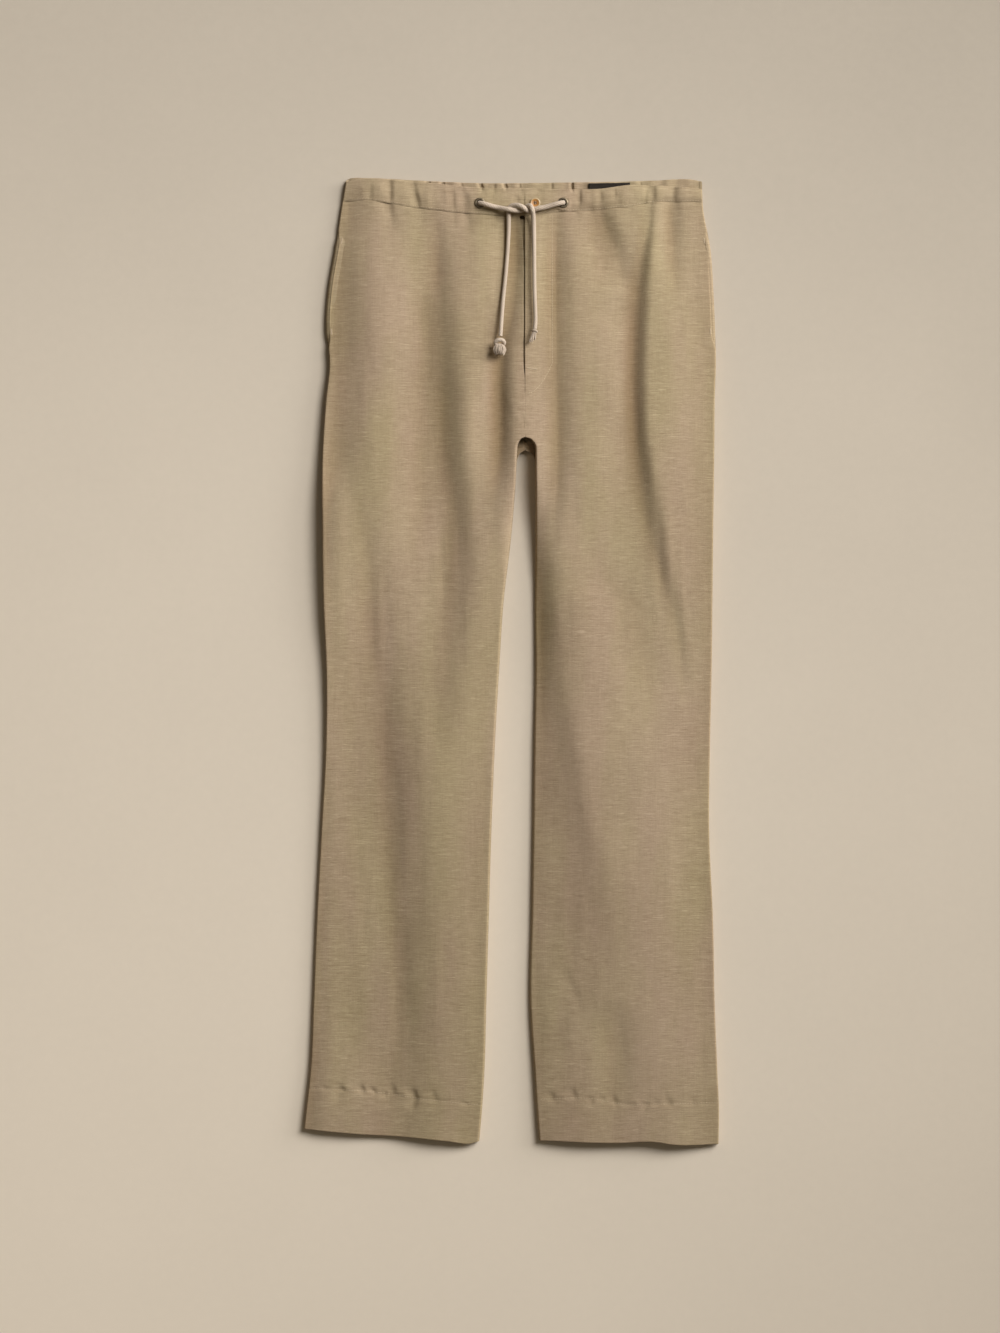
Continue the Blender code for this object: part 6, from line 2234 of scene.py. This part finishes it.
def make_floor(name, colour, down_rise, side_rise):
    """A plain pale floor, a little uneven, whose tone rises where the light falls off."""
    look = Look(name, Roughness=0.95, Specular_IOR_Level=0.1)
    spot = look.place((1.0, 1.0, 1.0))
    across = look.node("ShaderNodeSeparateXYZ", {}, spot, output=0)
    along = look.node("ShaderNodeSeparateXYZ", {}, spot, output=1)
    cloud = look.noise((2.6, 2.6, 2.6), 4.0, 0.6) - 0.5
    grain = look.noise((95.0, 95.0, 95.0), 3.0, 0.6) - 0.5
    tone = 1.0 - along * down_rise - across * side_rise + cloud * 0.10 + grain * 0.05
    look.colour(look.node("ShaderNodeVectorMath", {"operation": "SCALE"}, colour, Scale=tone))
    return look.material


def finish(name):
    """A finish by its name, made on its first use."""
    known = bpy.data.materials.get(f"finish_{name}")
    if known:
        return known
    cloth = bpy.context.scene.trousers_cloth
    trim = bpy.context.scene.trousers_trim
    stage = bpy.context.scene.trousers_stage
    full = f"finish_{name}"
    if name == "linen":
        colours = opaque(cloth.light), opaque(cloth.dark)
        return make_linen(full, *colours, cloth.slubs, cloth.weave_depth)
    if name == "thread":
        return make_cotton(full, opaque(cloth.thread), opaque(cloth.light))
    if name == "cotton":
        return make_cotton(full, opaque(trim.cotton_light), opaque(trim.cotton_dark))
    if name == "brass":
        return make_brass(full, opaque(trim.brass_light), opaque(trim.brass_dark))
    if name == "horn":
        colours = opaque(trim.horn_rim), opaque(trim.horn_disc), opaque(trim.horn_heart)
        return make_horn(full, *colours, place(BUTTON_X, BUTTON_DOWN, 0.0))
    if name == "tab":
        return make_tab(full, opaque(trim.tab_light), opaque(trim.tab_dark))
    return make_floor(full, stage.floor[:3], stage.floor_down_rise, stage.floor_side_rise)


def opaque(colour):
    return (*colour[:3], 1.0)


def colour_property(name, description, default):
    return bpy.props.FloatVectorProperty(
        name=name,
        description=description,
        default=default,
        size=3,
        min=0.0,
        max=1.0,
        subtype="COLOR",
    )


def length_property(name, description, default):
    return bpy.props.FloatProperty(
        name=name, description=description, default=default, min=0.0, precision=5, unit="LENGTH"
    )


def angle_property(name, description, degrees):
    return bpy.props.FloatProperty(
        name=name, description=description, default=np.radians(degrees), subtype="ANGLE"
    )


class ClothSettings(bpy.types.PropertyGroup):
    """Sizes and colours of the cloth and its stitching"""

    wall: length_property("Cloth", "Thickness of one layer of linen", 0.0009)
    stitch_pitch: length_property("Stitch", "Distance from one stitch to the next", 0.0030)
    thread_radius: length_property("Thread", "Radius of the sewing thread", 0.00024)
    weave_depth: length_property("Weave", "Depth of the weave's relief", 0.00016)
    slubs: bpy.props.FloatProperty(
        name="Slubs", description="Contrast of the uneven yarns", default=1.0, min=0.0, max=3.0
    )
    light: colour_property("Light yarn", "Colour of the lighter yarns", (0.506, 0.391, 0.254))
    dark: colour_property("Dark yarn", "Colour of the darker yarns", (0.306, 0.222, 0.130))
    thread: colour_property("Thread", "Colour of the sewing thread", (0.500, 0.390, 0.262))


class TrimSettings(bpy.types.PropertyGroup):
    """Sizes and colours of the drawstring, the eyelets, the button and the tab"""

    cord_radius: length_property("Cord radius", "Radius of the drawstring", 0.0025)
    braid_depth: length_property("Braid", "Depth between the braid's strands", 0.00028)
    cotton_light: colour_property("Cotton", "Colour of the drawstring", (0.610, 0.500, 0.392))
    cotton_dark: colour_property(
        "Cotton hollows", "Colour between the yarns", (0.380, 0.296, 0.216)
    )
    brass_light: colour_property("Brass", "Colour of the worn metal", (0.320, 0.255, 0.165))
    brass_dark: colour_property("Aged brass", "Colour of the aged metal", (0.080, 0.062, 0.042))
    horn_rim: colour_property("Button rim", "Colour of the button's rim", (0.470, 0.345, 0.190))
    horn_disc: colour_property("Button", "Colour of the button's face", (0.420, 0.190, 0.045))
    horn_heart: colour_property(
        "Button middle", "Colour of the button's middle", (0.100, 0.045, 0.020)
    )
    tab_light: colour_property(
        "Tab yarn", "Colour of the tab's lighter yarn", (0.048, 0.038, 0.030)
    )
    tab_dark: colour_property("Tab ground", "Colour of the tab's ground", (0.014, 0.011, 0.008))


class StageSettings(bpy.types.PropertyGroup):
    """Camera, light and floor"""

    lens: bpy.props.FloatProperty(
        name="Lens",
        description="Focal length of the camera, in millimetres",
        default=85.0,
        min=20.0,
    )
    picture_height: length_property("Picture", "Height of the picture at the cloth", 1.493)
    key_power: bpy.props.FloatProperty(
        name="Key", description="Power of the key light, in watts", default=45.5, min=0.0
    )
    key_size: length_property("Key size", "Width of the key light", 2.3)
    key_distance: length_property("Key distance", "Distance of the key light", 4.0)
    key_azimuth: angle_property("Key azimuth", "Direction of the key light, from +X to +Y", 43)
    key_elevation: angle_property("Key elevation", "Height of the key light over the floor", 44)
    key_spread: angle_property("Key spread", "How far the key light's beam fans out", 80)
    key_aim: bpy.props.FloatVectorProperty(
        name="Key aim",
        description="Where on the floor the key light's beam is centred",
        default=(-1.25, 0.0, 0.0),
        subtype="XYZ",
        unit="LENGTH",
    )
    rake_power: bpy.props.FloatProperty(
        name="Rake",
        description="Power of the low light from the side, in watts",
        default=26.5,
        min=0.0,
    )
    rake_size: length_property("Rake size", "Width of the low light", 2.2)
    rake_distance: length_property("Rake distance", "Distance of the low light", 5.0)
    rake_azimuth: angle_property("Rake azimuth", "Direction of the low light, from +X to +Y", 20)
    rake_elevation: angle_property("Rake elevation", "Height of the low light over the floor", 18)
    rake_spread: angle_property("Rake spread", "How far the low light's beam fans out", 80)
    rake_aim: bpy.props.FloatVectorProperty(
        name="Rake aim",
        description="Where on the floor the low light's beam is centred",
        default=(-1.0, 0.0, 0.0),
        subtype="XYZ",
        unit="LENGTH",
    )
    fill: colour_property("Fill", "Colour of the light from all round", (0.130, 0.114, 0.088))
    floor: colour_property("Floor", "Colour of the floor", (0.638, 0.556, 0.452))
    floor_down_rise: bpy.props.FloatProperty(
        name="Rise to the hems",
        description="How much paler the floor grows in one metre down",
        default=0.37,
    )
    floor_side_rise: bpy.props.FloatProperty(
        name="Rise to the side",
        description="How much paler the floor grows in one metre across",
        default=0.14,
    )


# Where the picture is centred, and the height at which its scale holds.
PICTURE_CENTRE = (-0.0135, -0.0052)
CLOTH_LEVEL = 0.012
SENSOR_WIDTH = 36.0
FLOOR_WIDTH = 8.0
FLOOR_DROP = 0.0004


def soft_light(name, azimuth, elevation, distance, size, power, aim, spread):
    """A round soft light whose beam is centred on a place on the floor."""
    light = bpy.data.lights.new(name, "AREA")
    light.shape = "DISK"
    light.size = size
    light.energy = power
    light.spread = spread
    lamp = bpy.data.objects.new(name, light)
    flat = np.cos(elevation) * distance
    lamp.location = (flat * np.cos(azimuth), flat * np.sin(azimuth), np.sin(elevation) * distance)
    beam = Vector(aim) - lamp.location
    lamp.rotation_euler = beam.to_track_quat("-Z", "Y").to_euler()
    bpy.context.scene.collection.objects.link(lamp)


class MakeStage(bpy.types.Operator):
    """Makes the floor, the light and the camera"""

    bl_idname = "trousers.make_stage"
    bl_label = "Stage"

    def execute(self, context):
        stage = context.scene.trousers_stage
        context.scene.view_settings.view_transform = "Standard"
        camera = bpy.data.cameras.new("camera")
        camera.lens = stage.lens
        camera.sensor_width = SENSOR_WIDTH
        holder = bpy.data.objects.new("camera", camera)
        distance = stage.picture_height * stage.lens / camera.sensor_width
        holder.location = (*PICTURE_CENTRE, CLOTH_LEVEL + distance)
        context.scene.collection.objects.link(holder)
        context.scene.camera = holder
        parts = "azimuth", "elevation", "distance", "size", "power", "aim", "spread"
        for name in ("key", "rake"):
            soft_light(name, *(getattr(stage, f"{name}_{part}") for part in parts))
        world = bpy.data.worlds.new("fill")
        world.use_nodes = True
        world.node_tree.nodes["Background"].inputs["Color"].default_value = opaque(stage.fill)
        context.scene.world = world
        half = FLOOR_WIDTH / 2
        mesh = bpy.data.meshes.new("floor")
        turns = (-1, -1), (1, -1), (1, 1), (-1, 1)
        points = [(x * half, y * half, -FLOOR_DROP) for x, y in turns]
        mesh.from_pydata(points, [], [(0, 1, 2, 3)])
        mesh.materials.append(finish("floor"))
        floor = bpy.data.objects.new("floor", mesh)
        context.scene.collection.objects.link(floor)
        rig.stage(floor)
        return {"FINISHED"}


OPERATORS = (
    MakeStage,
    MakeCords,
    MakeFronts,
    MakeBacks,
    MakeFrontCasings,
    MakeBackCasing,
    MakeFacings,
    MakeShield,
    MakeTab,
    MakeEyelets,
    MakeButton,
    MakeStitches,
)
SETTINGS = {
    "trousers_cloth": ClothSettings,
    "trousers_trim": TrimSettings,
    "trousers_stage": StageSettings,
}


class TROUSERS_PT_panel(bpy.types.Panel):
    """Lists the settings and what each button makes"""

    bl_idname = "TROUSERS_PT_panel"
    bl_label = "Drawstring trousers"
    bl_space_type = "VIEW_3D"
    bl_region_type = "UI"
    bl_category = "Trousers"

    def draw(self, context):
        for name, group in SETTINGS.items():
            box = self.layout.box()
            for key in group.__annotations__:
                box.prop(getattr(context.scene, name), key)
        for operator in OPERATORS:
            self.layout.operator(operator.bl_idname)


def register():
    for item in (*SETTINGS.values(), *OPERATORS, TROUSERS_PT_panel):
        bpy.utils.register_class(item)
    for name, group in SETTINGS.items():
        setattr(bpy.types.Scene, name, bpy.props.PointerProperty(type=group))


def unregister():
    for name in SETTINGS:
        delattr(bpy.types.Scene, name)
    for item in reversed((*SETTINGS.values(), *OPERATORS, TROUSERS_PT_panel)):
        bpy.utils.unregister_class(item)


def corners(bounds):
    return [[float(value) for value in corner] for corner in bounds]


def main():
    register()
    for operator in OPERATORS:
        group, name = operator.bl_idname.split(".")
        getattr(getattr(bpy.ops, group), name)()
    sizes = {"cad": corners(CAD_BOUNDS), "visual": corners(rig.bounds())}
    with open("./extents.json", "w") as report:
        json.dump(sizes, report)


if __name__ == "__main__":
    main()
